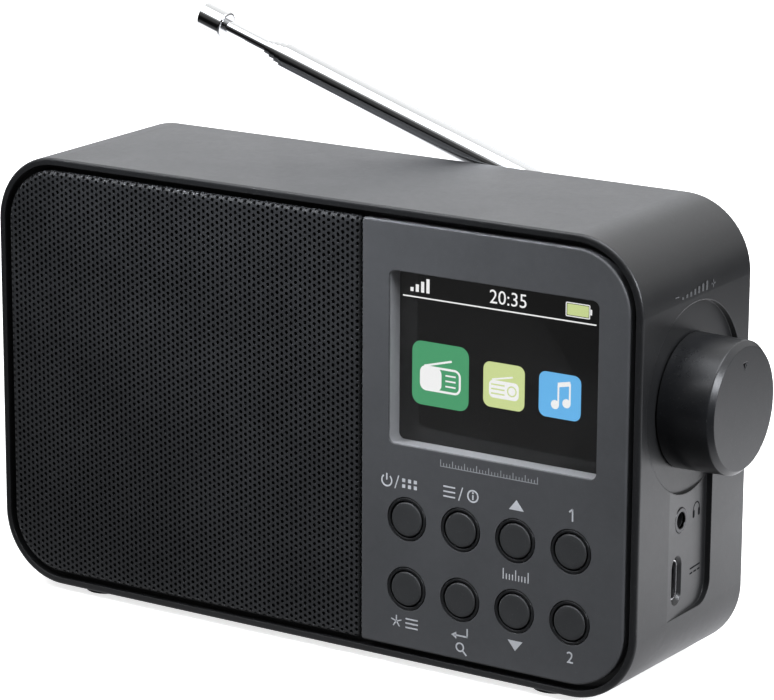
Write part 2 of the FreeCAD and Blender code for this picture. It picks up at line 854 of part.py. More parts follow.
# Speaker
def make_speaker_frame():
    front = baffle_back_y
    flange_back = front + speaker_flange
    outer = surround_radius + surround_lip
    inner = outer - surround_lip
    back = basket_back_y
    plate_y = back - basket_plate
    hole = cone_neck_radius + basket_plate
    profile = [(outer, front), (speaker_radius, front), (speaker_radius, flange_back),
               (outer + basket_wall, flange_back), (magnet_radius, plate_y), (magnet_radius, back),
               (hole, back), (hole, plate_y), (magnet_radius - basket_wall, plate_y),
               (outer - ledge_depth * 2, flange_back), (inner, flange_back),
               (inner, ledge_back_y), (outer, ledge_back_y)]
    frame = turned(profile, speaker_x, 0)
    ears = rods_y(ear_places(), speaker_ear_radius, front, flange_back)
    bore = rod_y(speaker_x, 0, speaker_radius - overlap, front - past, flange_back + past)
    terminals = box(speaker_x, terminal_x, back - terminal_thickness, back, lead_z - lead_spacing,
                    lead_z + lead_spacing)
    terminals = terminals.cut(rod_y(speaker_x, 0, magnet_radius - overlap, front, back + past))
    frame = joined([frame, terminals] + [ear.cut(bore) for ear in ears])
    tools = rods_y(ear_places(), screw_radius + board_hole_clearance, front - past, flange_back + past)
    half = basket_window_width / 2
    for number in range(basket_windows):
        window = box(-half, half, flange_back + basket_window_front, back - basket_window_back,
                     magnet_radius - past, speaker_radius)
        window.rotate(Vector(0, 0, 0), Vector(0, 1, 0), 360 * number / basket_windows)
        window.translate(Vector(speaker_x, 0, 0))
        tools.append(window)
    return frame.cut(tools)


def speaker_point(radius, y):
    return Vector(speaker_x + radius, y, 0)


def speaker_turned(edges):
    return Part.Face(Part.Wire(edges)).revolve(speaker_point(0, 0), Vector(0, 1, 0), 360)


def make_speaker_surround():
    """Half-round rubber roll between the cone's edge and the frame's ledge."""
    at = speaker_point
    seat = ledge_back_y
    face = seat - surround_thickness
    inner, outer = cone_edge_radius, surround_radius
    middle = (inner + outer) / 2
    roll = surround_roll_width / 2
    thin = surround_thickness
    lip_in = inner - surround_inner_lip
    lip_out = outer + surround_lip - surround_lip_clearance
    front_roll = Part.Arc(at(inner, face), at(middle, face - roll), at(outer, face))
    back_roll = Part.Arc(at(outer - thin, seat), at(middle, seat - roll + thin), at(inner + thin, seat))
    edges = [Part.makeLine(at(lip_in, seat), at(lip_in, face)),
             Part.makeLine(at(lip_in, face), at(inner, face)),
             front_roll.toShape(),
             Part.makeLine(at(outer, face), at(lip_out, face)),
             Part.makeLine(at(lip_out, face), at(lip_out, seat)),
             Part.makeLine(at(lip_out, seat), at(outer - thin, seat)),
             back_roll.toShape(),
             Part.makeLine(at(inner + thin, seat), at(lip_in, seat))]
    return speaker_turned(edges)


def make_speaker_cone():
    neck_y = ledge_back_y + cone_depth
    coil_end = basket_back_y + coil_former_past_basket
    former = cone_neck_radius - coil_former_wall
    profile = [(cone_edge_radius, ledge_back_y), (cone_edge_radius, ledge_back_y + cone_thickness),
               (cone_neck_radius, neck_y + cone_thickness), (cone_neck_radius, coil_end),
               (former, coil_end), (former, neck_y), (cone_edge_radius - cone_edge_bevel, ledge_back_y)]
    return turned(profile, speaker_x, 0)


def make_speaker_dust_cap():
    """A dome over the neck of the cone, resting on it."""
    at = speaker_point
    former = cone_neck_radius - coil_former_wall
    slope = cone_depth / (cone_edge_radius - cone_edge_bevel - former)
    radius = cone_neck_radius + dust_cap_overlap
    seat = ledge_back_y + cone_depth - slope * (radius - former)
    foot = seat - dust_cap_sheet
    rise = dust_cap_rise
    sphere = (radius ** 2 + rise ** 2) / (2 * rise)
    half = math.asin(radius / sphere) / 2
    centre_y = foot - rise + sphere
    thin = dust_cap_sheet
    shoulder = at(sphere * math.sin(half), centre_y - sphere * math.cos(half))
    inner = at((sphere - thin) * math.sin(half), centre_y - (sphere - thin) * math.cos(half))
    inner_radius = (sphere - thin) * math.sin(2 * half)
    inner_foot = centre_y - (sphere - thin) * math.cos(2 * half)
    edges = [Part.Arc(at(0, foot - rise), shoulder, at(radius, foot)).toShape(),
             Part.makeLine(at(radius, foot), at(inner_radius, inner_foot)),
             Part.Arc(at(inner_radius, inner_foot), inner, at(0, foot - rise + thin)).toShape(),
             Part.makeLine(at(0, foot - rise + thin), at(0, foot - rise))]
    return speaker_turned(edges)


def make_speaker_magnet():
    """Magnet ring with its pole piece, glued to the back of the frame."""
    front = basket_back_y
    back = front + magnet_height
    gap_in, gap_out = cone_neck_radius - magnet_gap_inside, cone_neck_radius + magnet_gap_outside
    gap_y = front + magnet_gap_depth
    profile = [(0, front), (gap_in, front), (gap_in, gap_y), (gap_out, gap_y), (gap_out, front),
               (magnet_radius, front), (magnet_radius, back), (0, back)]
    return turned(profile, speaker_x, 0)


def make_speaker_screws():
    screws = []
    head_y = baffle_back_y + speaker_flange
    for x, z in ear_places():
        shank = rod_y(x, z, screw_radius, speaker_screw_end_y, head_y)
        head = rod_y(x, z, screw_head_radius, head_y, head_y + screw_head_height)
        screws.append(shank.fuse(head).removeSplitter())
    return Part.makeCompound(screws)


def make_speaker_leads():
    leads = []
    for side in (-1, 1):
        z = lead_z + side * lead_spacing / 2
        start = Vector(terminal_x, basket_back_y - terminal_thickness / 2, z)
        end = Vector(main_board_left + connector_left, main_board_front_y - connector_height / 2, z)
        out = Vector(lead_straight, 0, 0)
        leads.append(cable([start, start + out, end - out, end], lead_radius))
    return Part.makeCompound(leads)


# Volume knob and encoder
def d_shaft(x0, x1, grown=0.0):
    """Round shaft with a flat, as the encoder and the knob's bore share it."""
    shaft = rod_x(knob_y, knob_z, shaft_radius + grown, x0, x1)
    flat_z = knob_z + shaft_radius - shaft_flat + grown
    flat = box(x0 - past, x1 + past, knob_y - 2 * shaft_radius, knob_y + 2 * shaft_radius, flat_z,
               knob_z + 2 * shaft_radius)
    return shaft.cut(flat)


def make_volume_knob():
    cavity_x = knob_start_x + knob_cavity_depth
    knob = knob_turned([(knob_start_x, knob_cavity_radius), (knob_start_x, knob_base_radius),
                        (knob_face_x - knob_chamfer_length, knob_lip_radius),
                        (knob_face_x, knob_lip_radius - knob_chamfer_depth),
                        (knob_face_x, 0), (cavity_x, 0), (cavity_x, knob_cavity_radius)])
    lip = [e for e in knob.Edges if len(e.Vertexes) == 1
           and abs(e.Vertexes[0].X - knob_face_x + knob_chamfer_length) < 1e-4]
    knob = knob.makeFillet(knob_lip_edge_radius, lip)
    knob = knob.cut(d_shaft(cavity_x - past, knob_face_x - shaft_end_wall, screw_clearance))
    top = knob_z + knob_mark_height
    outside = knob_face_x + past
    corners = [Vector(outside, knob_y - knob_mark_half_width, top),
               Vector(outside, knob_y + knob_mark_half_width, top),
               Vector(outside, knob_y, top - knob_mark_length)]
    mark = Part.Face(Part.makePolygon(corners + corners[:1]))
    return knob.cut(mark.extrude(Vector(-past - knob_mark_depth, 0, 0)))


def make_encoder_shaft():
    cavity_x = knob_start_x + knob_cavity_depth
    start_x = encoder_back_x + encoder_back_wall + encoder_shaft_end_gap
    plain = rod_x(knob_y, knob_z, shaft_radius, start_x, cavity_x)
    return joined([plain, d_shaft(cavity_x, knob_face_x - shaft_end_wall)])


def make_encoder_body():
    half = encoder_size / 2
    body = box(encoder_back_x, pad_x, knob_y - half, knob_y + half, knob_z - half, knob_z + half)
    bush = rod_x(knob_y, knob_z, bush_radius, pad_x - overlap, pad_x + bush_length)
    bore = rod_x(knob_y, knob_z, shaft_radius + shaft_clearance, encoder_back_x + encoder_back_wall,
                 pad_x + bush_length + past)
    return joined([body, bush]).cut(bore)


def make_encoder_nut():
    reach = nut_across_flats / 2 / math.cos(math.pi / 6)
    angles = [math.pi / 3 * number for number in range(6)]
    corners = [Vector(recess_floor_x, knob_y + reach * math.cos(a), knob_z + reach * math.sin(a))
               for a in angles]
    nut = Part.Face(Part.makePolygon(corners + corners[:1])).extrude(Vector(nut_height, 0, 0))
    return nut.cut(rod_x(knob_y, knob_z, bush_radius + screw_clearance, recess_floor_x - past,
                         recess_floor_x + nut_height + past))


# Sockets
def make_headphone_jack():
    face = socket_floor_x(jack_y) + jack_ring_proud
    ring_start = face - jack_ring_length
    bore_end = face - jack_bore_depth
    half_y, half_z = jack_body_width / 2, jack_body_height / 2
    body = box(bore_end - jack_end_wall, pad_x, jack_y - half_y, jack_y + half_y, jack_z - half_z,
               jack_z + half_z)
    grown = jack_flange_overlap
    flange = box(encoder_back_x, encoder_back_x + jack_flange_thickness, jack_y - half_y,
                 jack_y + half_y + grown, jack_z - half_z - grown, jack_z + half_z + grown)
    nose = rod_x(jack_y, jack_z, jack_ring_radius, pad_x - overlap, ring_start)
    bore = rod_x(jack_y, jack_z, jack_bore_radius, bore_end, right_x)
    return joined([body, flange, nose]).cut(bore)


def make_jack_ring():
    face = socket_floor_x(jack_y) + jack_ring_proud
    ring = rod_x(jack_y, jack_z, jack_ring_radius, face - jack_ring_length, face)
    ring = ring.cut(rod_x(jack_y, jack_z, jack_bore_radius, pad_x, right_x + past))
    return ring.makeFillet(jack_ring_edge_radius, edges_at_x(ring, face))


def make_usb_c_shell():
    mouth = socket_floor_x(usb_y) - usb_sunk
    shell = stadium_bar(usb_y, usb_z, usb_width, usb_height, encoder_back_x, mouth)
    return shell.cut(stadium_bar(usb_y, usb_z, usb_width - 2 * usb_shell, usb_height - 2 * usb_shell,
                                 encoder_back_x + usb_back_wall, mouth + past))


def make_usb_c_tongue():
    mouth = socket_floor_x(usb_y) - usb_sunk
    half_y, half_z = tongue_thickness / 2, tongue_height / 2
    return box(encoder_back_x + usb_back_wall, mouth - tongue_sunk, usb_y - half_y, usb_y + half_y,
               usb_z - half_z, usb_z + half_z)


# Antenna
def antenna_point(distance):
    return Vector(pivot_x, pivot_y, pivot_z) + along * distance


def antenna_rod(radius, start, end):
    return Part.makeCylinder(radius, end - start, antenna_point(start), along)


def pin_rod(radius, half_length):
    return Part.makeCylinder(radius, 2 * half_length, antenna_point(0) - across * half_length, across)


def knuckle_block(half_thickness, toward, reach):
    """A round-nosed lug on the hinge pin, reaching from it along a direction."""
    nose = pin_rod(knuckle_radius, half_thickness)
    side = toward.cross(across)
    corner = antenna_point(0) - across * half_thickness - side * knuckle_radius
    up, over = across * 2 * half_thickness, side * 2 * knuckle_radius
    corners = [corner, corner + up, corner + up + over, corner + over]
    block = Part.Face(Part.makePolygon(corners + corners[:1])).extrude(toward * reach)
    return nose.fuse(block).removeSplitter()


def make_antenna_turret():
    disc_start = cover_face_y + turret_gap
    disc_end = pivot_y - knuckle_radius - knuckle_clearance
    head_y = cover_inner_y - turret_gap
    disc = rod_y(pivot_x, pivot_z, turret_radius, disc_start, disc_end)
    stem = rod_y(pivot_x, pivot_z, turret_stem_radius, head_y, disc_start + overlap)
    tongue_space = tongue_plate / 2 + tongue_side_gap
    ears = knuckle_block(tongue_space + ear_plate, -backward, pivot_y - disc_end + overlap)
    slot = knuckle_block(tongue_space, -backward, pivot_y - disc_end)
    slot = slot.fuse(knuckle_block(tongue_space, along, knuckle_radius * 2))
    slot = slot.fuse(knuckle_block(tongue_space, backward, knuckle_radius * 2))
    turret = joined([disc, stem, ears.cut(slot)])
    screw = rod_y(pivot_x, pivot_z, turret_screw_radius, head_y - past, head_y + turret_screw_length)
    return turret.cut([pin_rod(hinge_pin_radius, turret_radius), screw])


def make_antenna_screw():
    head_y = cover_inner_y - turret_gap
    head = rod_y(pivot_x, pivot_z, turret_screw_head_radius, head_y - turret_screw_head_height, head_y)
    shank = rod_y(pivot_x, pivot_z, turret_screw_radius, head_y - turret_screw_overlap,
                  head_y + turret_screw_length)
    return joined([head, shank])


def make_antenna_hinge_pin():
    return pin_rod(hinge_pin_radius, tongue_plate / 2 + tongue_side_gap + ear_plate)


def section_radius(number):
    return antenna_outer_radius - antenna_radius_step * (number - 1)


def section_end(number):
    end = antenna_tube_end + antenna_section_step * (number - 1)
    if number == antenna_sections:
        end += antenna_rod_stand_out - antenna_section_step + antenna_rod_into_tip
    return end


def make_antenna_section(number):
    radius = section_radius(number)
    start = antenna_tube_start + antenna_start_step * (number - 1)
    tube = antenna_rod(radius, start, section_end(number))
    if number < antenna_sections:
        bore = section_radius(number + 1) + antenna_tube_clearance
        tube = tube.cut(antenna_rod(bore, start, section_end(number) + past))
    if number == 1:
        plug = antenna_rod(radius, start - antenna_root_wall, start)
        tongue = knuckle_block(tongue_plate / 2, along, start - antenna_root_wall)
        hole = pin_rod(hinge_pin_radius + hinge_pin_clearance, turret_radius)
        tube = joined([tube, plug, tongue]).cut(hole)
    return tube


def make_antenna_tip():
    start = section_end(antenna_sections) - antenna_rod_into_tip
    tip = antenna_rod(antenna_tip_radius, start, start + antenna_tip_length)
    rims = [e for e in tip.Edges if len(e.Vertexes) == 1]
    tip = tip.makeFillet(antenna_tip_edge_radius, rims)
    socket = antenna_rod(section_radius(antenna_sections), start - past, start + antenna_rod_into_tip)
    return tip.cut(socket)


# Battery
def make_battery_cell():
    start = cell_centre_x - cell_length / 2
    cell = rod_x(cell_y, cell_centre_z, cell_radius, start, start + cell_length)
    nub = rod_x(cell_y, cell_centre_z, cell_nub_radius, start + cell_length - overlap,
                start + cell_length + cell_nub_length)
    return joined([cell, nub])


def make_battery_holder():
    """A cradle clipped to the rear cover that wraps past the middle of the cell."""
    half = cell_radius + cell_clearance + holder_wall
    end_space = cell_length / 2 + cell_nub_length + cell_end_room
    block = box(cell_centre_x - end_space - holder_wall, cell_centre_x + end_space + holder_wall,
                cell_y - holder_wrap, cover_inner_y, cell_centre_z - half, cell_centre_z + half)
    trough = rod_x(cell_y, cell_centre_z, cell_radius + cell_clearance,
                   cell_centre_x - end_space, cell_centre_x + end_space)
    return block.cut(trough)


button_names = ["power", "menu", "up", "preset_1", "preset", "enter", "down", "preset_2"]

nodes = {
    "main_shell": make_main_shell(),
    "rear_cover": make_rear_cover(),
    "rear_cover_screws": make_rear_cover_screws(),
    "rubber_feet": make_rubber_feet(),
    "front_panel": make_front_panel(),
    "speaker_grille": make_speaker_grille(),
    "speaker_scrim": make_speaker_scrim(),
    "button_bezels": make_button_bezels(),
    "switch_bodies": make_switch_bodies(),
    "display_lens": make_display_lens(),
    "display_module": make_display_module(),
    "display_bracket": make_display_bracket(),
    "display_ribbon": make_display_ribbon(),
    "control_board": make_control_board(),
    "main_board": make_main_board(),
    "main_board_parts": make_main_board_parts(),
    "side_board": make_side_board(),
    "board_screws": make_board_screws(),
    "speaker_frame": make_speaker_frame(),
    "speaker_surround": make_speaker_surround(),
    "speaker_cone": make_speaker_cone(),
    "speaker_dust_cap": make_speaker_dust_cap(),
    "speaker_magnet": make_speaker_magnet(),
    "speaker_screws": make_speaker_screws(),
    "speaker_leads": make_speaker_leads(),
    "volume_knob": make_volume_knob(),
    "encoder_shaft": make_encoder_shaft(),
    "encoder_body": make_encoder_body(),
    "encoder_nut": make_encoder_nut(),
    "headphone_jack": make_headphone_jack(),
    "jack_ring": make_jack_ring(),
    "usb_c_shell": make_usb_c_shell(),
    "usb_c_tongue": make_usb_c_tongue(),
    "antenna_turret": make_antenna_turret(),
    "antenna_screw": make_antenna_screw(),
    "antenna_hinge_pin": make_antenna_hinge_pin(),
    "antenna_tip": make_antenna_tip(),
    "battery_cell": make_battery_cell(),
    "battery_holder": make_battery_holder(),
}
for name, (x, z) in zip(button_names, button_places()):
    nodes["button_" + name] = make_button(x, z)
    nodes["plunger_" + name] = make_plunger(x, z)
for number in range(1, antenna_sections + 1):
    nodes["antenna_section_%d" % number] = make_antenna_section(number)

os.makedirs("parts", exist_ok=True)
for name, shape in nodes.items():
    placed = shape.copy()
    placed.translate(Vector(-origin_x, -origin_y, -floor_z))
    placed.exportStep("parts/%s.step" % name)
    box_now = placed.BoundBox
    print("%-20s solids %2d valid %s volume %9.1f  x %7.2f %7.2f  y %7.2f %7.2f  z %7.2f %7.2f" % (
        name, len(placed.Solids), placed.isValid(), placed.Volume, box_now.XMin, box_now.XMax,
        box_now.YMin, box_now.YMax, box_now.ZMin, box_now.ZMax))
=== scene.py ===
import json
import math
import bmesh
import bpy
from mathutils import Matrix, Vector


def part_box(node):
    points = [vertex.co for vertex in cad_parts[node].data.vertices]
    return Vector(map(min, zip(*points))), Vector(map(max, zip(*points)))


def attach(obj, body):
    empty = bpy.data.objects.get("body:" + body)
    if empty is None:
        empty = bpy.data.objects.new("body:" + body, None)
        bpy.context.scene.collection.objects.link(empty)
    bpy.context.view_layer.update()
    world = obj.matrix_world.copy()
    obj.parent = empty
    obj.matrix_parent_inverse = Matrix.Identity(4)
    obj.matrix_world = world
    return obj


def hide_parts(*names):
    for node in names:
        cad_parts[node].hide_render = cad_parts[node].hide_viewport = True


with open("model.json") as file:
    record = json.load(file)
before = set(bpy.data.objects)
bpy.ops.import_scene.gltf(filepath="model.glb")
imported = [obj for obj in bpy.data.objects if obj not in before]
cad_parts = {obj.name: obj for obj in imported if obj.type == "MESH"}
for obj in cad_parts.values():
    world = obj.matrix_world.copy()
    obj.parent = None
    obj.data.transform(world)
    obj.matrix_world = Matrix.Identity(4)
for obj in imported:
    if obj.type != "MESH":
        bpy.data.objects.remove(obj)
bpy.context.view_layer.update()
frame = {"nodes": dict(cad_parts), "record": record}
scene = bpy.context.scene
bpy.ops.object.select_all(action="DESELECT")
mm = 0.001
print("frame loaded:", len(frame["nodes"]), "nodes")

# Camera: looks at the middle of the case from the right, a little above. Angles in degrees, lens in mm.
view = {"azimuth": 33.03, "elevation": 14.59, "roll": 0.29, "distance": 0.8182,
        "aim": (-0.0018, 0.0, 0.0630), "lens": 168.57, "farthest": 20}


def turned(angle, axis):
    return Matrix.Rotation(math.radians(angle), 4, axis)


def placeCamera():
    turn = turned(view["azimuth"], "Z") @ turned(90 - view["elevation"], "X") @ turned(view["roll"], "Z")
    bpy.ops.object.camera_add()
    camera = bpy.context.object
    camera.name = "camera"
    camera.data.lens = view["lens"]
    camera.data.clip_end = view["farthest"]
    back = Matrix.Translation((0, 0, view["distance"]))
    camera.matrix_world = Matrix.Translation(view["aim"]) @ turn @ back
    scene.camera = camera


placeCamera()
print("camera placed")


# Helpers for work in edit mode
upright = (math.radians(90), 0, 0)   # turns a flat primitive to face the front
facing = 0.99                        # a face whose normal reaches this along an axis faces that way


def pickPiece(piece):
    bpy.ops.object.select_all(action="DESELECT")
    piece.select_set(True)
    bpy.context.view_layer.objects.active = piece


def editMode(piece):
    pickPiece(piece)
    bpy.ops.object.mode_set(mode="EDIT")


def objectMode():
    bpy.ops.object.mode_set(mode="OBJECT")


def pickAll():
    bpy.ops.mesh.select_all(action="SELECT")


def pickFaces(test):
    # selects the faces of the mesh in edit mode for which test(centre, normal) holds
    bpy.ops.mesh.select_mode(type="FACE")
    bpy.ops.mesh.select_all(action="DESELECT")
    mesh = bmesh.from_edit_mesh(bpy.context.object.data)
    for face in mesh.faces:
        if test(face.calc_center_median(), face.normal):
            face.select_set(True)
    bmesh.update_edit_mesh(bpy.context.object.data)


def pickVertices(test):
    bpy.ops.mesh.select_mode(type="VERT")
    bpy.ops.mesh.select_all(action="DESELECT")
    mesh = bmesh.from_edit_mesh(bpy.context.object.data)
    for vertex in mesh.verts:
        if test(vertex.co):
            vertex.select_set(True)
    mesh.select_flush(True)
    bmesh.update_edit_mesh(bpy.context.object.data)


def turnMesh(angle, axis, centre=(0, 0, 0)):
    # turns what is selected counter-clockwise about the axis; the operator itself counts the other way
    bpy.ops.transform.rotate(value=-math.radians(angle), orient_axis=axis, center_override=centre)


def moveMesh(x=0.0, y=0.0):
    bpy.ops.transform.translate(value=(x, y, 0))


def pullOut(distance):
    # extrudes what is selected along y
    bpy.ops.mesh.extrude_region_move(TRANSFORM_OT_translate={"value": (0, distance, 0)})


def alignNormals():
    pickAll()
    bpy.ops.mesh.normals_make_consistent(inside=False)


def settle(piece):
    # puts the piece's place into its mesh, so that its object is at the origin, unturned
    pickPiece(piece)
    bpy.ops.object.transform_apply(location=True, rotation=True, scale=True)
    return piece


def joinPieces(pieces, name):
    bpy.ops.object.select_all(action="DESELECT")
    for piece in pieces:
        piece.select_set(True)
    bpy.context.view_layer.objects.active = pieces[0]
    bpy.ops.object.join()
    whole = bpy.context.object
    whole.name = name
    whole.data.name = name
    return settle(whole)


def addModifier(piece, kind, **values):
    bpy.context.view_layer.objects.active = piece
    modifier = piece.modifiers.new(kind.lower(), kind)
    for key, value in values.items():
        setattr(modifier, key, value)
    bpy.ops.object.modifier_apply(modifier=modifier.name)


def smooth(piece, angle=35):
    pickPiece(piece)
    bpy.ops.object.shade_smooth_by_angle(angle=math.radians(angle))


# Effects that several materials share
def newGroup(name, inputs, outputs):
    group = bpy.data.node_groups.new(name, "ShaderNodeTree")
    for label, value in inputs.items():
        socket = group.interface.new_socket(name=label, in_out="INPUT", socket_type="NodeSocketFloat")
        socket.default_value = value
    for label in outputs:
        kind = "NodeSocketVector" if label == "Normal" else "NodeSocketFloat"
        group.interface.new_socket(name=label, in_out="OUTPUT", socket_type=kind)
    return group, group.nodes.new("NodeGroupInput"), group.nodes.new("NodeGroupOutput")


def mathNode(tree, operation, first, second=None, clamp=False):
    node = tree.nodes.new("ShaderNodeMath")
    node.operation = operation
    node.use_clamp = clamp
    for index, value in enumerate((first, second)):
        if isinstance(value, (int, float)):
            node.inputs[index].default_value = value
        elif value is not None:
            tree.links.new(value, node.inputs[index])
    return node.outputs[0]


def product(tree, first, second):
    return mathNode(tree, "MULTIPLY", first, second)


def noiseNode(tree, coordinate, scale, detail=3.0, roughness=0.55):
    node = tree.nodes.new("ShaderNodeTexNoise")
    node.inputs["Detail"].default_value = detail
    node.inputs["Roughness"].default_value = roughness
    tree.links.new(coordinate, node.inputs["Vector"])
    if isinstance(scale, (int, float)):
        node.inputs["Scale"].default_value = scale
    else:
        tree.links.new(scale, node.inputs["Scale"])
    return node.outputs["Fac"]


def rangeNode(tree, value, low, high, outLow=0.0, outHigh=1.0):
    node = tree.nodes.new("ShaderNodeMapRange")
    node.inputs["From Min"].default_value = low
    node.inputs["From Max"].default_value = high
    for label, end in (("To Min", outLow), ("To Max", outHigh)):
        if isinstance(end, (int, float)):
            node.inputs[label].default_value = end
        else:
            tree.links.new(end, node.inputs[label])
    tree.links.new(value, node.inputs["Value"])
    return node.outputs["Result"]


def objectCoordinate(tree):
    return tree.nodes.new("ShaderNodeTexCoord").outputs["Object"]


def objectAxes(tree):
    axes = tree.nodes.new("ShaderNodeSeparateXYZ")
    tree.links.new(objectCoordinate(tree), axes.inputs["Vector"])
    return axes.outputs


def makeGrain():
    # spark-eroded mould texture: small rounded pits over a finer noise
    group, given, made = newGroup("mouldGrain", {"Scale": 4000.0, "Depth": 0.5}, ["Height", "Unevenness"])
    place = objectCoordinate(group)
    pits = group.nodes.new("ShaderNodeTexVoronoi")
    pits.feature = "SMOOTH_F1"
    group.links.new(place, pits.inputs["Vector"])
    group.links.new(given.outputs["Scale"], pits.inputs["Scale"])
    fine = noiseNode(group, place, product(group, given.outputs["Scale"], 1.7), detail=2)
    height = mathNode(group, "ADD", pits.outputs["Distance"], fine)
    group.links.new(product(group, height, given.outputs["Depth"]), made.inputs["Height"])
    broad = noiseNode(group, place, 60.0, detail=4)
    small = noiseNode(group, place, 600.0, detail=2)
    mixed = mathNode(group, "ADD", product(group, broad, 0.6), product(group, small, 0.4))
    group.links.new(rangeNode(group, mixed, 0.35, 0.65), made.inputs["Unevenness"])
    return group


wearAndSheenTurn = {"start": 0.99, "full": 0.82, "samples": 6}   # how far the normal has turned at an edge


def makeEdgeWearAndSheen():
    # where a surface turns sharply: the edges handled most, which the plastics also lighten as a painted
    # highlight; the mask is broken up by noise
    group, given, made = newGroup("edgeWear", {"Width": 0.0004, "Break Up": 900.0}, ["Mask", "Normal"])
    bevel = group.nodes.new("ShaderNodeBevel")
    bevel.samples = wearAndSheenTurn["samples"]
    group.links.new(given.outputs["Width"], bevel.inputs["Radius"])
    geometry = group.nodes.new("ShaderNodeNewGeometry")
    dot = group.nodes.new("ShaderNodeVectorMath")
    dot.operation = "DOT_PRODUCT"
    group.links.new(bevel.outputs["Normal"], dot.inputs[0])
    group.links.new(geometry.outputs["Normal"], dot.inputs[1])
    turn = rangeNode(group, dot.outputs["Value"], wearAndSheenTurn["start"], wearAndSheenTurn["full"])
    chips = noiseNode(group, objectCoordinate(group), given.outputs["Break Up"], 4)
    chips = rangeNode(group, chips, 0.38, 0.62)
    group.links.new(product(group, turn, chips), made.inputs["Mask"])
    group.links.new(bevel.outputs["Normal"], made.inputs["Normal"])
    return group


def makeSmudges():
    # faint finger marks and dust: soft patches with a thin speckle in them
    group, given, made = newGroup("smudges", {"Patch Scale": 45.0, "Speckle Scale": 2600.0},
                                  ["Mask", "Speckle"])
    place = objectCoordinate(group)
    patch = noiseNode(group, place, given.outputs["Patch Scale"], 5, 0.6)
    group.links.new(rangeNode(group, patch, 0.48, 0.72), made.inputs["Mask"])
    speckle = noiseNode(group, place, given.outputs["Speckle Scale"], 1)
    group.links.new(rangeNode(group, speckle, 0.66, 0.76), made.inputs["Speckle"])
    return group


def makeBrushing():
    # fine turning or drawing lines, stretched along one axis by the scales given
    group, given, made = newGroup("brushing", {"Along X": 40.0, "Along Y": 4000.0, "Along Z": 4000.0},
                                  ["Height", "Streak"])
    combine = group.nodes.new("ShaderNodeCombineXYZ")
    for label, axis in (("Along X", "X"), ("Along Y", "Y"), ("Along Z", "Z")):
        group.links.new(given.outputs[label], combine.inputs[axis])
    stretch = group.nodes.new("ShaderNodeVectorMath")
    stretch.operation = "MULTIPLY"
    group.links.new(objectCoordinate(group), stretch.inputs[0])
    group.links.new(combine.outputs["Vector"], stretch.inputs[1])
    line = noiseNode(group, stretch.outputs["Vector"], 1.0, 3, 0.6)
    group.links.new(line, made.inputs["Height"])
    group.links.new(rangeNode(group, line, 0.3, 0.7), made.inputs["Streak"])
    return group


effects = {"grain": makeGrain(), "wear": makeEdgeWearAndSheen(), "smudges": makeSmudges(), "brushing": makeBrushing()}


def placeEffect(tree, name, **values):
    node = tree.nodes.new("ShaderNodeGroup")
    node.node_tree = effects[name]
    for label, value in values.items():
        node.inputs[label.replace("_", " ")].default_value = value
    return node.outputs


# Finishes: each is a material of its own, with the numbers that set its look
def newMaterial():
    material = bpy.data.materials.new("finish")
    material.use_nodes = True
    return material, material.node_tree, material.node_tree.nodes["Principled BSDF"]


def mixColour(tree, factor, first, second):
    node = tree.nodes.new("ShaderNodeMix")
    node.data_type = "RGBA"
    tree.links.new(factor, node.inputs["Factor"])
    for index, value in ((6, first), (7, second)):
        if isinstance(value, tuple):
            node.inputs[index].default_value = (*value, 1)
        else:
            tree.links.new(value, node.inputs[index])
    return node.outputs[2]


def scaled(colour, factor):
    return tuple(min(1.0, channel * factor) for channel in colour)


def shade(tree, shader, factor, colour, low, high):
    # the base colour runs from low to high times the colour as the factor runs from 0 to 1
    base = mixColour(tree, factor, scaled(colour, low), scaled(colour, high))
    tree.links.new(base, shader.inputs["Base Color"])


def bumpFrom(tree, shader, height, distance, softEdge=None):
    bump = tree.nodes.new("ShaderNodeBump")
    bump.inputs["Distance"].default_value = distance
    if softEdge:
        tree.links.new(softEdge, bump.inputs["Normal"])
    tree.links.new(height, bump.inputs["Height"])
    tree.links.new(bump.outputs["Normal"], shader.inputs["Normal"])


dust = {"colour": (0.42, 0.41, 0.39), "amount": 0.05}
# the edges' lighter colour stands partly for wear and partly for a painted highlight
handlingAndSheen = {"lighter": 1.3, "added": 0.05, "smoother": 0.12, "smudge": 0.02}   # edges and finger marks


def satinPlastic(colour, roughness, specular=0.5, grainScale=4200.0, grainDepth=0.00001, wear=0.5,
                 wearWidth=0.00025):
    # moulded plastic: colour a little uneven, edges lighter from wear and from a painted highlight, roughness
    # broken up by smudges
    material, tree, shader = newMaterial()
    grain = placeEffect(tree, "grain", Scale=grainScale, Depth=1.0)
    sharpEdges = placeEffect(tree, "wear", Width=wearWidth, Break_Up=1200.0)
    marks = placeEffect(tree, "smudges")
    base = mixColour(tree, grain["Unevenness"], scaled(colour, 0.93), scaled(colour, 1.07))
    # painted highlight and wear: the colour goes lighter along sharp edges
    wornAndSheenEdge = tuple(handlingAndSheen["added"] + handlingAndSheen["lighter"] * channel for channel in colour)
    edgeLightened = mixColour(tree, product(tree, sharpEdges["Mask"], wear), base, wornAndSheenEdge)
    specks = product(tree, marks["Speckle"], dust["amount"])
    tree.links.new(mixColour(tree, specks, edgeLightened, dust["colour"]), shader.inputs["Base Color"])
    rough = rangeNode(tree, grain["Unevenness"], 0, 1, roughness - 0.025, roughness + 0.025)
    smear = product(tree, marks["Mask"], handlingAndSheen["smudge"])
    polish = product(tree, sharpEdges["Mask"], handlingAndSheen["smoother"])
    rough = mathNode(tree, "SUBTRACT", mathNode(tree, "SUBTRACT", rough, smear), polish)
    tree.links.new(rough, shader.inputs["Roughness"])
    shader.inputs["Specular IOR Level"].default_value = specular
    bumpFrom(tree, shader, grain["Height"], grainDepth, sharpEdges["Normal"])
    return material


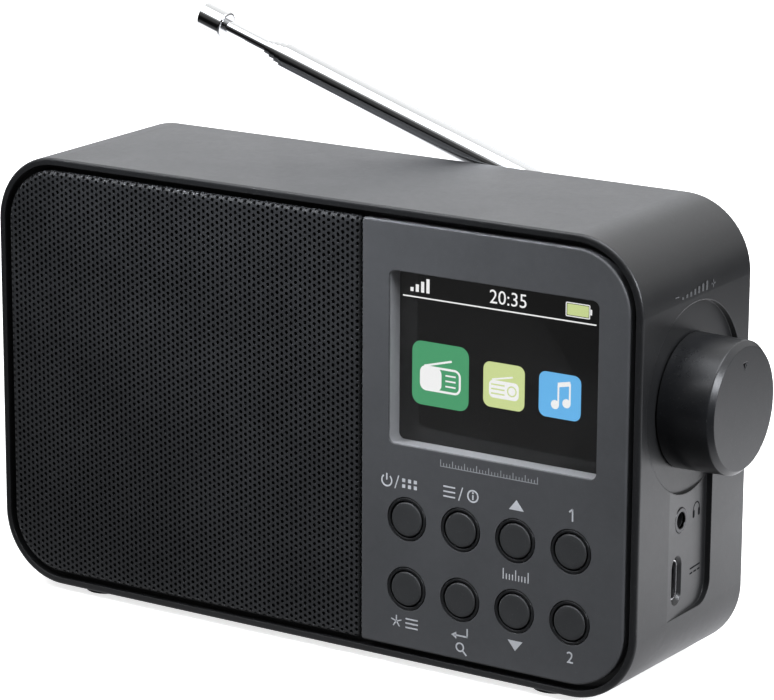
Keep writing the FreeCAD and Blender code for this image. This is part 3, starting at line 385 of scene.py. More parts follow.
def turnedPlastic(colour, polished, satin, endX):
    # a knob turned to a polish all round, with a satin end face past endX
    material = satinPlastic(colour, satin, grainDepth=0.000003, wear=0.35)
    tree = material.node_tree
    shader = tree.nodes["Principled BSDF"]
    rough = shader.inputs["Roughness"].links[0].from_socket
    end = rangeNode(tree, objectAxes(tree)["X"], endX - 0.05 * mm, endX)
    smoother = rangeNode(tree, end, 0, 1, satin - polished, 0)
    tree.links.new(mathNode(tree, "SUBTRACT", rough, smoother), shader.inputs["Roughness"])
    return material


def paintedMetal(colour, roughness):
    # powder coat over steel: orange-peel bump, and bare bright metal where an edge is rubbed through
    material, tree, shader = newMaterial()
    grain = placeEffect(tree, "grain", Scale=2600.0, Depth=1.0)
    sharpEdges = placeEffect(tree, "wear", Width=0.00012, Break_Up=2600.0)
    edgeLightened = product(tree, sharpEdges["Mask"], 0.35)
    base = mixColour(tree, grain["Unevenness"], scaled(colour, 0.85), scaled(colour, 1.15))
    tree.links.new(mixColour(tree, edgeLightened, base, scaled(colour, 3.5)), shader.inputs["Base Color"])
    tree.links.new(rangeNode(tree, grain["Unevenness"], 0, 1, roughness - 0.05, roughness + 0.05),
                   shader.inputs["Roughness"])
    bumpFrom(tree, shader, grain["Height"], 0.000008)
    return material


def bareMetal(colour, roughness, lines=(4000.0, 4000.0, 60.0), lineDepth=0.000002, tarnish=0.15):
    # plated or turned metal: fine lines, and patches where the plating has dulled
    material, tree, shader = newMaterial()
    brushed = placeEffect(tree, "brushing", Along_X=lines[0], Along_Y=lines[1], Along_Z=lines[2])
    marks = placeEffect(tree, "smudges", Patch_Scale=120.0, Speckle_Scale=3000.0)
    dull = product(tree, marks["Mask"], tarnish)
    bright = mixColour(tree, brushed["Streak"], scaled(colour, 0.94), scaled(colour, 1.04))
    tree.links.new(mixColour(tree, dull, bright, scaled(colour, 0.7)), shader.inputs["Base Color"])
    shader.inputs["Metallic"].default_value = 1.0
    streaked = rangeNode(tree, brushed["Streak"], 0, 1, roughness * 0.85, roughness * 1.15)
    rough = mathNode(tree, "ADD", streaked, product(tree, dull, 0.5))
    tree.links.new(rough, shader.inputs["Roughness"])
    bumpFrom(tree, shader, brushed["Height"], lineDepth)
    return material


def wovenCloth(colour, threads):
    # plain weave: two crossed waves set the height and the roughness; the colour follows the height as
    # painted shade between the threads and painted highlight on the raised threads
    material, tree, shader = newMaterial()
    place = objectCoordinate(tree)
    waves = []
    for direction in ("X", "Z"):
        wave = tree.nodes.new("ShaderNodeTexWave")
        wave.bands_direction = direction
        wave.inputs["Scale"].default_value = threads
        wave.inputs["Distortion"].default_value = 0.6
        tree.links.new(place, wave.inputs["Vector"])
        waves.append(wave.outputs["Fac"])
    height = mathNode(tree, "MAXIMUM", *waves)
    shade(tree, shader, height, colour, 0.4, 1.5)
    tree.links.new(rangeNode(tree, height, 0, 1, 0.95, 0.8), shader.inputs["Roughness"])
    bumpFrom(tree, shader, height, 0.00005)
    return material


def pressedPaper(colour):
    # felted fibres of the speaker's cone
    material, tree, shader = newMaterial()
    fibres = noiseNode(tree, objectCoordinate(tree), 1500.0, 6, 0.7)
    shade(tree, shader, fibres, colour, 0.7, 1.5)
    tree.links.new(rangeNode(tree, fibres, 0.2, 0.8, 0.95, 0.8), shader.inputs["Roughness"])
    bumpFrom(tree, shader, fibres, 0.00006)
    return material


def circuitBoard(mask, copper):
    # solder mask with the tracks under it as slightly lighter lines
    material, tree, shader = newMaterial()
    place = objectCoordinate(tree)
    cells = tree.nodes.new("ShaderNodeTexBrick")
    cells.inputs["Scale"].default_value = 260.0
    cells.inputs["Mortar Size"].default_value = 0.08
    turn = tree.nodes.new("ShaderNodeMapping")
    turn.inputs["Rotation"].default_value = (math.radians(90), 0, 0)
    tree.links.new(place, turn.inputs["Vector"])
    tree.links.new(turn.outputs["Vector"], cells.inputs["Vector"])
    broken = rangeNode(tree, noiseNode(tree, place, 220.0, 2), 0.45, 0.5)
    track = product(tree, cells.outputs["Fac"], broken)
    tree.links.new(mixColour(tree, track, mask, copper), shader.inputs["Base Color"])
    sheen = rangeNode(tree, noiseNode(tree, place, 900.0, 3), 0.3, 0.7, 0.28, 0.42)
    tree.links.new(sheen, shader.inputs["Roughness"])
    bumpFrom(tree, shader, track, 0.00003)
    return material


def shrinkWrap(wrap, ends, firstX, lastX):
    # printed film round a cell, with its bare steel ends
    material, tree, shader = newMaterial()
    place = objectCoordinate(tree)
    across = objectAxes(tree)["X"]
    past = mathNode(tree, "GREATER_THAN", across, lastX)
    before = mathNode(tree, "LESS_THAN", across, firstX)
    bare = mathNode(tree, "ADD", past, before, clamp=True)
    film = mixColour(tree, noiseNode(tree, place, 300.0, 3), scaled(wrap, 0.9), scaled(wrap, 1.1))
    tree.links.new(mixColour(tree, bare, film, ends), shader.inputs["Base Color"])
    tree.links.new(bare, shader.inputs["Metallic"])
    wrinkles = noiseNode(tree, place, 180.0, 4)
    tree.links.new(rangeNode(tree, wrinkles, 0.3, 0.7, 0.25, 0.4), shader.inputs["Roughness"])
    bumpFrom(tree, shader, wrinkles, 0.0001)
    return material


def clearWindow():
    # hard-coated acrylic: a plain clear sheet whose coat is very slightly uneven
    material, tree, shader = newMaterial()
    shader.inputs["Transmission Weight"].default_value = 1.0
    shader.inputs["IOR"].default_value = 1.45
    shader.inputs["Specular IOR Level"].default_value = 0.25
    marks = placeEffect(tree, "smudges", Patch_Scale=70.0)
    tree.links.new(mixColour(tree, marks["Mask"], (0.99, 0.99, 0.99), (0.97, 0.97, 0.97)),
                   shader.inputs["Base Color"])
    tree.links.new(rangeNode(tree, marks["Mask"], 0, 1, 0.015, 0.04), shader.inputs["Roughness"])
    return material


def litPicture(colour, dot=0.15 * mm):
    # the display's own light, with the faint grid of its dots
    material, tree, shader = newMaterial()
    axes = objectAxes(tree)
    grid = []
    for axis in ("X", "Z"):
        cell = mathNode(tree, "PINGPONG", axes[axis], dot / 2)
        grid.append(rangeNode(tree, cell, 0.0, dot * 0.12))
    dots = product(tree, *grid)
    glow = mixColour(tree, dots, scaled(colour, 0.88), colour)
    tree.links.new(glow, shader.inputs["Emission Color"])
    shade(tree, shader, dots, colour, 0.02, 0.05)
    tree.links.new(rangeNode(tree, dots, 0, 1, 0.5, 0.4), shader.inputs["Roughness"])
    shader.inputs["Emission Strength"].default_value = 1.0
    shader.inputs["Specular IOR Level"].default_value = 0.2
    return material


def printedInk(colour, roughness=0.5, specular=0.5):
    # pad-printed paint: thin, slightly patchy, with a soft tooth
    material, tree, shader = newMaterial()
    patchy = noiseNode(tree, objectCoordinate(tree), 2500.0, 4)
    shade(tree, shader, patchy, colour, 0.9, 1.05)
    rough = rangeNode(tree, patchy, 0.3, 0.7, roughness - 0.05, roughness + 0.08)
    tree.links.new(rough, shader.inputs["Roughness"])
    shader.inputs["Specular IOR Level"].default_value = specular
    bumpFrom(tree, shader, patchy, 0.000004)
    return material


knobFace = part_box("volume_knob")[1].x
cellLow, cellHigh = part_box("battery_cell")
finishes = {
    "casePlastic": satinPlastic((0.012, 0.0123, 0.013), 0.36, wear=0.3),
    "panelPlastic": satinPlastic((0.065, 0.0665, 0.0698), 0.46, grainScale=5200.0),
    "buttonPlastic": satinPlastic((0.034, 0.035, 0.036), 0.45, grainScale=6500.0),
    "bezelPlastic": satinPlastic((0.010, 0.0103, 0.011), 0.32, grainDepth=0.000004, wearWidth=0.0001),
    "knobPlastic": turnedPlastic((0.010, 0.0105, 0.0117), 0.3, 0.36, knobFace - 0.05 * mm),
    "holderPlastic": satinPlastic((0.012, 0.012, 0.013), 0.5, wear=0.3),
    "partsPlastic": satinPlastic((0.014, 0.014, 0.015), 0.45, grainScale=3000.0),
    "rubber": satinPlastic((0.014, 0.014, 0.014), 0.75, specular=0.3, grainScale=3000.0, wear=0.2),
    "grillePaint": paintedMetal((0.022, 0.0227, 0.0241), 0.46),
    "chrome": bareMetal((0.70, 0.71, 0.72), 0.08, lineDepth=0.0000004, tarnish=0.06),
    "sheetSteel": bareMetal((0.55, 0.55, 0.56), 0.28),
    "screwSteel": bareMetal((0.09, 0.09, 0.095), 0.38, lines=(900.0, 900.0, 900.0)),
    "brass": bareMetal((0.70, 0.52, 0.27), 0.24, lines=(3000.0, 80.0, 80.0)),
    "blackNickel": bareMetal((0.05, 0.05, 0.052), 0.22, lines=(60.0, 3000.0, 3000.0)),
    "magnet": bareMetal((0.16, 0.16, 0.165), 0.5, lines=(700.0, 700.0, 700.0), lineDepth=0.00001),
    "scrimCloth": wovenCloth((0.006, 0.006, 0.006), 1600.0),
    "conePaper": pressedPaper((0.03, 0.03, 0.03)),
    "board": circuitBoard((0.010, 0.090, 0.038), (0.030, 0.170, 0.070)),
    "leadCover": printedInk((0.42, 0.05, 0.03), 0.4),
    "lens": clearWindow(),
    "whiteInk": printedInk((0.52, 0.53, 0.55)),
    # dark ink for the socket signs, and painted shade in the knob's notch
    "darkInk": printedInk((0.008, 0.008, 0.009), 0.85, 0.05),
    "faintInk": printedInk((0.085, 0.087, 0.090)),
    "greyInk": printedInk((0.30, 0.31, 0.32)),
    # pale grey painted reflection for the walls of the window opening
    "liningPlastic": satinPlastic((0.21, 0.212, 0.2165), 0.4, grainDepth=0.000003),
    "pictureGround": litPicture((0.010, 0.010, 0.010)),
    "pictureWhite": litPicture((0.95, 0.95, 0.95)),
    "pictureGreen": litPicture((0.078, 0.352, 0.165)),
    "pictureLime": litPicture((0.645, 0.745, 0.328)),
    "pictureBlue": litPicture((0.153, 0.497, 0.888)),
    "cellWrap": shrinkWrap((0.02, 0.08, 0.32), (0.6, 0.6, 0.61), cellLow.x + 0.4 * mm,
                           cellHigh.x - 1.6 * mm),
}
for name, material in finishes.items():
    material.name = name

# A CAD node gets the finish named like its material slot, but for these slots and nodes
slotFinish = {"grille_metal": "grillePaint", "lens_glass": "lens", "display_glass": "partsPlastic",
              "board_parts": "partsPlastic"}
nodeFinish = {"jack_ring": "blackNickel", "usb_c_shell": "sheetSteel"}


def finishNodes():
    for part in frame["record"]["subparts"]:
        node = frame["nodes"][part["node"]]
        slot = part["material_slot"]
        first, *rest = slot.split("_")
        sameName = first + "".join(word.capitalize() for word in rest)
        finish = nodeFinish.get(part["node"]) or slotFinish.get(slot, sameName)
        for index in range(len(node.data.materials)):
            node.data.materials[index] = finishes[finish]


finishNodes()
print("materials made:", len(finishes))


# Speaker grille: one steel sheet with staggered holes, its edges rolled back into the groove
grille = {"rowPitch": 1.44 * mm, "columnPitch": 1.241 * mm, "holeRadius": 0.475 * mm, "holeCorners": 8,
          "sheet": 0.5 * mm, "roll": 1.1 * mm, "cornerRadius": 13.2 * mm, "cornerSteps": 16,
          "seam": 0.01 * mm}   # points nearer than the seam are one point


def holeCorner(x, z, angle, side=1):
    # a corner of the hole at x and z, by its angle; side -1 is its mirror image
    angle = math.radians(angle)
    radius = grille["holeRadius"]
    return Vector((side * (x + radius * math.cos(angle)), 0, z + radius * math.sin(angle)))


def linkHoles(places):
    # one face between the hole corners nearest to the places given
    mesh = bmesh.from_edit_mesh(bpy.context.object.data)
    bpy.ops.mesh.select_all(action="DESELECT")
    for place in places:
        nearest = min(mesh.verts, key=lambda vertex: (vertex.co - place).length)
        nearest.select_set(True)
    bmesh.update_edit_mesh(bpy.context.object.data)
    bpy.ops.mesh.edge_face_add()


def makeGrilleTile():
    # the sheet between one hole and the holes above it and beside it
    row, column = grille["rowPitch"], grille["columnPitch"]
    neighbours = [(0, 0), (0, row), (column, row / 2), (-column, row / 2)]
    rings = []
    for x, z in neighbours:
        bpy.ops.mesh.primitive_circle_add(vertices=grille["holeCorners"], radius=grille["holeRadius"],
                                          location=(x, 0, z),
                                          rotation=(math.radians(90), math.radians(22.5), 0))
        rings.append(bpy.context.object)
    tile = joinPieces(rings, "speakerGrille")
    editMode(tile)
    # between the hole and the one above it, then between those two and the hole to each side
    linkHoles([holeCorner(0, 0, 67.5), holeCorner(0, 0, 112.5), holeCorner(0, row, 247.5),
               holeCorner(0, row, 292.5)])
    outline = [(0, 0, 67.5), (0, 0, 22.5), (column, row / 2, 202.5), (column, row / 2, 157.5),
               (0, row, 337.5), (0, row, 292.5)]
    for side in (1, -1):
        linkHoles([holeCorner(*corner, side) for corner in outline])
    bpy.ops.mesh.select_all(action="DESELECT")
    mesh = bmesh.from_edit_mesh(tile.data)
    for edge in mesh.edges:
        if not edge.link_faces:
            edge.select_set(True)
    bmesh.update_edit_mesh(tile.data)
    bpy.ops.mesh.delete(type="EDGE")
    bpy.ops.mesh.select_mode(type="VERT")
    pickAll()
    bpy.ops.mesh.duplicate_move(TRANSFORM_OT_translate={"value": (column, 0, row / 2)})
    pickAll()
    bpy.ops.mesh.remove_doubles(threshold=grille["seam"])
    objectMode()
    return tile


def repeatTile(tile, count, step):
    addModifier(tile, "ARRAY", count=count, use_relative_offset=False, use_constant_offset=True,
                constant_offset_displace=step, use_merge_vertices=True, merge_threshold=grille["seam"])


def rolledPlace(point, low, high):
    # where a point of the flat sheet lies once the sheet's edge is rolled, and how far past the flat it was
    roll = grille["roll"]
    core = Vector((min(max(point.x, low.x + roll), high.x - roll), 0,
                   min(max(point.z, low.z + roll), high.z - roll)))
    corner = grille["cornerRadius"]
    middleX = low.x + corner
    middleZ = (high.z - corner) if point.z > (low.z + high.z) / 2 else (low.z + corner)
    beyondZ = abs(point.z - (low.z + high.z) / 2) > (high.z - low.z) / 2 - corner
    flat = Vector((point.x, 0, point.z))
    if point.x < middleX and beyondZ:
        centre = Vector((middleX, 0, middleZ))
        reach = (flat - centre).length
        away = (flat - centre).normalized()
        past = reach - (corner - roll)
        core = centre + away * (corner - roll)
    else:
        past = (flat - core).length
        away = (flat - core).normalized() if past > 0 else Vector((1, 0, 0))
    if past <= 0:
        return flat, 0.0, past
    turn = min(past / roll, math.pi / 2)
    return core + away * roll * math.sin(turn), roll * (1 - math.cos(turn)), past


def makeGrille():
    low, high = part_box("speaker_grille")
    middle = (low + high) / 2
    row, column = grille["rowPitch"], grille["columnPitch"]
    tile = makeGrilleTile()
    columns = math.ceil((high.x - low.x) / (2 * column)) + 2   # a few more than fit, cut off below
    rows = math.ceil((high.z - low.z) / row) + 3
    repeatTile(tile, rows, (0, 0, row))
    repeatTile(tile, columns, (2 * column, 0, 0))
    tile.location = (middle.x - (columns - 1) * column - column / 2, 0, middle.z - rows * row / 2)
    settle(tile)
    end = grille["roll"] * math.pi / 2
    editMode(tile)
    pickAll()
    bpy.ops.mesh.remove_doubles(threshold=grille["seam"])
    pickFaces(lambda centre, normal: rolledPlace(centre, low, high)[2] > end)
    bpy.ops.mesh.delete(type="FACE")
    objectMode()
    for vertex in tile.data.vertices:
        place, depth = rolledPlace(vertex.co, low, high)[:2]
        vertex.co = Vector((place.x, low.y + depth, place.z))
    editMode(tile)
    pickAll()
    bpy.ops.mesh.remove_doubles(threshold=2 * grille["seam"])
    bpy.ops.mesh.normals_make_consistent(inside=False)
    objectMode()
    nearest = min(tile.data.polygons, key=lambda polygon: (polygon.center - middle).length)
    if nearest.normal.y > 0:
        editMode(tile)
        pickAll()
        bpy.ops.mesh.flip_normals()
        objectMode()
    addModifier(tile, "SOLIDIFY", thickness=grille["sheet"], offset=-1, use_even_offset=False)
    skirt = makeGrilleSkirt(low, high)
    whole = joinPieces([tile, skirt], "speakerGrille")
    whole.data.materials.clear()
    whole.data.materials.append(finishes["grillePaint"])
    smooth(whole, 40)
    print("grille:", len(whole.data.polygons), "faces")
    return whole


def makeGrilleSkirt(low, high):
    # the plain band from the end of the roll back to the baffle
    start = low.y + grille["roll"]
    bpy.ops.mesh.primitive_plane_add(size=1, location=((low.x + high.x) / 2, start, (low.z + high.z) / 2),
                                     rotation=upright)
    skirt = bpy.context.object
    skirt.scale = (high.x - low.x, high.z - low.z, 1)
    settle(skirt)
    editMode(skirt)
    for side, radius in ((-1, grille["cornerRadius"]), (1, grille["roll"])):
        pickVertices(lambda co: (co.x - (low.x + high.x) / 2) * side > (high.x - low.x) / 2 - 0.1 * mm)
        bpy.ops.mesh.bevel(affect="VERTICES", offset=radius, segments=grille["cornerSteps"])
    pickAll()
    pullOut(high.y - start)
    pickFaces(lambda centre, normal: abs(normal.y) > facing)
    bpy.ops.mesh.delete(type="FACE")
    alignNormals()
    objectMode()
    addModifier(skirt, "SOLIDIFY", thickness=grille["sheet"], offset=-1)
    return skirt


grillePiece = makeGrille()
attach(grillePiece, "case")
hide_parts("speaker_grille")
print("grille made")


# Flat shapes for the printed marks and the display's picture, drawn facing the front, all in millimetres
def bar(x, z, width, height, turn=0.0):
    bpy.ops.mesh.primitive_plane_add(size=1, location=(x * mm, 0, z * mm), rotation=upright)
    shape = bpy.context.object
    shape.scale = (width * mm, height * mm, 1)
    settle(shape)
    editMode(shape)
    pickAll()
    turnMesh(turn, "Y", (x * mm, 0, z * mm))
    objectMode()
    return shape


def rounded(x, z, width, height, radius, segments=6):
    shape = bar(x, z, width, height)
    editMode(shape)
    pickAll()
    bpy.ops.mesh.bevel(affect="VERTICES", offset=radius * mm, segments=segments)
    objectMode()
    return shape


def disc(x, z, radius, corners=24):
    bpy.ops.mesh.primitive_circle_add(vertices=corners, radius=radius * mm, fill_type="NGON",
                                      location=(x * mm, 0, z * mm), rotation=upright)
    return settle(bpy.context.object)


def hollow(shape, width, gap=None):
    # keeps only a band of this width inside the shape's outline, and opens it where gap(centre) holds
    editMode(shape)
    pickAll()
    bpy.ops.mesh.inset(thickness=width * mm)
    bpy.ops.mesh.delete(type="FACE")
    if gap:
        pickFaces(lambda centre, normal: gap(centre / mm))
        bpy.ops.mesh.delete(type="FACE")
    objectMode()
    return shape


def triangle(x, z, width, height):
    # points up for a positive height, down for a negative one
    shape = bar(x, z, width, abs(height))
    editMode(shape)
    side = math.copysign(1, height)
    pickVertices(lambda co: (co.z - z * mm) * side > 0)
    bpy.ops.mesh.merge(type="CENTER")
    objectMode()
    return shape


def figures(x, z, height, text):
    # plain numbers of this height in Blender's own typeface
    bpy.ops.object.text_add(location=(0, 0, 0))
    letters = bpy.context.object
    letters.data.body = text
    letters.data.align_x = "CENTER"
    letters.data.align_y = "CENTER"
    letters.data.size = height * mm / 0.7   # a figure is 0.7 of the type size
    letters.data.resolution_u = 3
    bpy.ops.object.convert(target="MESH")
    shape = bpy.context.object
    shape.rotation_euler = upright
    shape.location = (x * mm, 0, z * mm)
    return settle(shape)


def layer(shapes, name, y, finish, thickness):
    # one flat layer from these shapes, its face at y
    whole = joinPieces(shapes, name)
    editMode(whole)
    pickAll()
    moveMesh(y=(y + thickness) * mm)
    pullOut(-thickness * mm)
    alignNormals()
    objectMode()
    whole.data.materials.clear()
    whole.data.materials.append(finishes[finish])
    return whole


caseMiddle = {"x": -5.95, "y": -3.375, "z": 52.4}   # where the shared frame has the middle of the case


def worldPlace(x, z):
    return x + caseMiddle["x"], z + caseMiddle["z"]


# Printed marks on the front panel: pictograms, plain numbers and a tuning scale. Each sign has its place from
# the middle of the case, across and up, and its strokes are laid out from there.
panelMarks = {"face": -27.725, "proud": 0.02, "stroke": 0.34, "thinStroke": 0.26, "ring": 1.45,
              "arrow": (3.7, 2.3), "slash": (3.2, 18), "ringCorners": 28,
              "power": (22.3, -10.1), "menu": (38.4, -10.1), "up": (55.35, -10.2), "one": (69.2, -10.1),
              "tune": (55.4, -26.0), "preset": (27.6, -42.0), "enter": (41.8, -41.7), "down": (55.5, -41.9),
              "two": (69.2, -42.0)}
tuningScale = {"place": (48.3, -3.9), "long": 1.5, "short": 0.8, "width": 24.6, "stroke": 0.16, "step": 0.76}


def powerSign(x, z):
    ring = hollow(disc(x, z, panelMarks["ring"], panelMarks["ringCorners"]), panelMarks["stroke"],
                  lambda co: co.z > z + 0.5 and abs(co.x - x) < 0.75)
    return [ring, bar(x, z + 0.85, panelMarks["stroke"], 1.5)]


def slash(x, z):
    tall, lean = panelMarks["slash"]
    return bar(x, z, panelMarks["thinStroke"], tall, lean)


def star(x, z, radius):
    points = []
    for index in range(5):
        angle = math.radians(90 + 72 * index)
        middleX = x + radius * 0.5 * math.cos(angle)
        middleZ = z + radius * 0.5 * math.sin(angle)
        points.append(bar(middleX, middleZ, radius, 0.28, -math.degrees(angle)))
    return points


def ruler(x, z, reach, step, stroke, long, short):
    # upright strokes from -reach to reach, every fourth one long, all standing on z
    strokes = []
    for index in range(-reach, reach + 1):
        tall = long if index % 4 == 0 else short
        strokes.append(bar(x + index * step, z + tall / 2, stroke, tall))
    return strokes


def finishPanelMarks(shapes, name, finish):
    proud = panelMarks["proud"]
    marks = layer(shapes, name, panelMarks["face"] - proud, finish, proud)
    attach(marks, "case")


def makePanelMarks():
    stroke = panelMarks["stroke"]
    arrowWidth, arrowHeight = panelMarks["arrow"]
    x, z = worldPlace(*panelMarks["power"])
    shapes = powerSign(x, z)
    shapes.append(slash(x + 2.6, z))
    for column in range(3):
        for row in range(2):
            shapes.append(bar(x + 4.4 + column * 1.5, z - 0.65 + row * 1.3, 0.8, 0.8))
    x, z = worldPlace(*panelMarks["menu"])
    for row in (-1.1, 0, 1.1):
        shapes.append(bar(x, z + row, 3.0, stroke))
    shapes.append(slash(x + 2.9, z))
    shapes.append(hollow(disc(x + 6.0, z, panelMarks["ring"], panelMarks["ringCorners"]), stroke))
    shapes.append(bar(x + 6.0, z - 0.25, stroke, 1.1))
    shapes.append(disc(x + 6.0, z + 0.75, 0.22, 10))
    x, z = worldPlace(*panelMarks["up"])
    shapes.append(triangle(x, z, arrowWidth, arrowHeight))
    x, z = worldPlace(*panelMarks["one"])
    shapes.append(bar(x, z, stroke, 2.7))
    shapes.append(bar(x - 0.4, z + 1.0, stroke, 1.1, 48))
    x, z = worldPlace(*panelMarks["tune"])
    shapes += ruler(x, z - 1.2, 4, 0.78, 0.24, 2.4, 1.3)
    x, z = worldPlace(*panelMarks["preset"])
    shapes += star(x - 2.6, z, 1.4)
    for row in (-1.0, 0, 1.0):
        shapes.append(bar(x + 1.4, z + row, 3.2, stroke))
    x, z = worldPlace(*panelMarks["enter"])
    shapes.append(bar(x, z - 0.6, 3.4, stroke))
    shapes.append(bar(x + 1.53, z + 0.3, stroke, 2.0))
    tip = triangle(x - 1.9, z - 0.6, 1.6, 1.3)
    editMode(tip)
    pickAll()
    turnMesh(-90, "Y", ((x - 1.9) * mm, 0, (z - 0.6) * mm))
    objectMode()
    shapes.append(tip)
    shapes.append(hollow(disc(x - 0.3, z - 3.2, 1.1), stroke))
    shapes.append(bar(x + 0.9, z - 4.4, stroke, 1.4, -45))
    x, z = worldPlace(*panelMarks["down"])
    shapes.append(triangle(x, z, arrowWidth, -arrowHeight))
    x, z = worldPlace(*panelMarks["two"])
    shapes.append(figures(x, z, 2.6, "2"))
    finishPanelMarks(shapes, "panelMarks", "whiteInk")


def makeTuningScale():
    # the fine printed scale under the window
    x, z = worldPlace(*tuningScale["place"])
    base = z - tuningScale["long"] / 2
    shapes = [bar(x, base, tuningScale["width"], tuningScale["stroke"])]
    shapes += ruler(x, base, 16, tuningScale["step"], tuningScale["stroke"], tuningScale["long"],
                    tuningScale["short"])
    finishPanelMarks(shapes, "panelScale", "greyInk")


makePanelMarks()
makeTuningScale()
print("panel marks made")


# Marks on the right side, drawn flat and then turned to face right. The row of bars and the two signs at the
# sockets have their places from the middle of the case.
sideMarks = {"sideX": 79.05, "face": -0.02, "thickness": 0.03, "volumeRow": 36.5, "volumeStroke": 0.3,
             "headphone": (3.45, -13.1), "headband": 1.7,
             "directCurrent": (3.4, -26.6), "currentStroke": 0.36,
             "pocketFront": -14.025, "pocketSlope": 4.19,
             "notchHeight": 10.1, "notchWidth": 2.0, "notchLength": 1.75, "notchDepth": 0.3}


def turnToSide(piece, x, tilt=0.0):
    # a mark drawn facing the front, across as y and up as z, is laid on the side at x
    editMode(piece)
    pickAll()
    turnMesh(90, "Z")
    turnMesh(tilt, "Z", (0, sideMarks["pocketFront"] * mm, 0))
    moveMesh(x=x * mm)
    objectMode()


def makeVolumeMarks():
    # rising bars between a minus and a plus
    z = sideMarks["volumeRow"] + caseMiddle["z"]
    stroke = sideMarks["volumeStroke"]
    shapes = [bar(-13.0, z, 1.6, stroke), bar(3.0, z, 1.8, stroke), bar(3.0, z, stroke, 1.8)]
    for index in range(7):
        tall = 0.5 + 0.25 * index
        shapes.append(bar(-10.4 + 1.75 * index, z - 0.9 + tall / 2, 0.75, tall))
    marks = layer(shapes, "volumeMarks", sideMarks["face"], "faintInk", sideMarks["thickness"])
    turnToSide(marks, sideMarks["sideX"])
    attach(marks, "case")


def sidePlace(y, z):
    return y + caseMiddle["y"], z + caseMiddle["z"]


def makeSocketMarks():
    # a headphone, and the sign for direct current, on the sloping floor of the pocket
    y, z = sidePlace(*sideMarks["headphone"])
    shapes = [hollow(disc(y, z, sideMarks["headband"], 28), 0.3, lambda co: co.z < z - 0.1)]
    for side in (-1, 1):
        shapes.append(rounded(y + side * 1.4, z - 0.85, 0.95, 1.7, 0.3, 3))
    y, z = sidePlace(*sideMarks["directCurrent"])
    shapes.append(bar(y, z + 0.55, 5.2, sideMarks["currentStroke"]))
    for side in (-1.9, 0, 1.9):
        shapes.append(bar(y + side, z - 0.55, 1.35, sideMarks["currentStroke"]))
    marks = layer(shapes, "socketMarks", sideMarks["face"], "darkInk", sideMarks["thickness"])
    turnToSide(marks, sideMarks["sideX"], sideMarks["pocketSlope"])
    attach(marks, "case")


def makeKnobNotchShade():
    # painted shade in the small notch near the top of the knob's face: a dark triangle on the notch's floor
    low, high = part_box("volume_knob")
    y = (low.y + high.y) / 2 / mm
    top = (low.z + high.z) / 2 / mm + sideMarks["notchHeight"]
    length = sideMarks["notchLength"]
    notch = triangle(y, top - length / 2, sideMarks["notchWidth"], -length)
    notchShade = layer([notch], "knobMark", sideMarks["face"], "darkInk", sideMarks["thickness"])
    turnToSide(notchShade, high.x / mm - sideMarks["notchDepth"])
    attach(notchShade, "volume_knob")


makeVolumeMarks()
makeSocketMarks()
makeKnobNotchShade()
print("side marks made")


# Buttons: eight caps that move and the rings they sit in
buttons = {"capRadius": 3.86, "capEdge": 0.32, "dishSteps": ((0.9, 0.03), (1.2, 0.02)), "sides": 72,
           "ringOuter": 4.8, "ringWidth": 0.56, "ringEdge": 0.12, "ringSunk": 0.1,
           "names": ["power", "menu", "up", "preset_1", "preset", "enter", "down", "preset_2"]}


def makeCap():
    low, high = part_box("button_power")
    bpy.ops.mesh.primitive_cylinder_add(vertices=buttons["sides"], radius=buttons["capRadius"] * mm,
                                        depth=high.y - low.y, rotation=upright)
    cap = settle(bpy.context.object)
    editMode(cap)
    pickFaces(lambda centre, normal: normal.y < -facing)
    bpy.ops.mesh.bevel(affect="EDGES", offset=buttons["capEdge"] * mm, segments=4)
    pickFaces(lambda centre, normal: normal.y < -facing)
    for width, depth in buttons["dishSteps"]:
        bpy.ops.mesh.inset(thickness=width * mm, depth=-depth * mm)
    objectMode()
    cap.data.materials.append(finishes["buttonPlastic"])
    smooth(cap)
    return cap


def makeRing():
    low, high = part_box("button_bezels")
    ring = hollow(disc(0, 0, buttons["ringOuter"], buttons["sides"]), buttons["ringWidth"])
    editMode(ring)
    pickAll()
    pullOut(high.y - low.y - buttons["ringSunk"] * mm)
    alignNormals()
    pickFaces(lambda centre, normal: normal.y < -facing)
    bpy.ops.mesh.bevel(affect="EDGES", offset=buttons["ringEdge"] * mm, segments=3)
    objectMode()
    smooth(ring)
    return ring


def copyTo(master, place):
    pickPiece(master)
    bpy.ops.object.duplicate(linked=False)
    twin = bpy.context.object
    twin.location = place
    return settle(twin)


def makeButtons():
    cap = makeCap()
    ring = makeRing()
    rings = []
    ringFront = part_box("button_bezels")[0].y
    for name in buttons["names"]:
        low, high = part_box("button_" + name)
        middle = (low + high) / 2
        twin = copyTo(cap, middle)
        twin.name = "cap_" + name
        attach(twin, "button_" + name)
        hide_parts("button_" + name)
        rings.append(copyTo(ring, (middle.x, ringFront, middle.z)))
    bezels = joinPieces(rings, "buttonRings")
    bezels.data.materials.append(finishes["bezelPlastic"])
    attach(bezels, "case")
    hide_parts("button_bezels")
    bpy.data.objects.remove(cap)
    bpy.data.objects.remove(ring)


makeButtons()
print("buttons made")


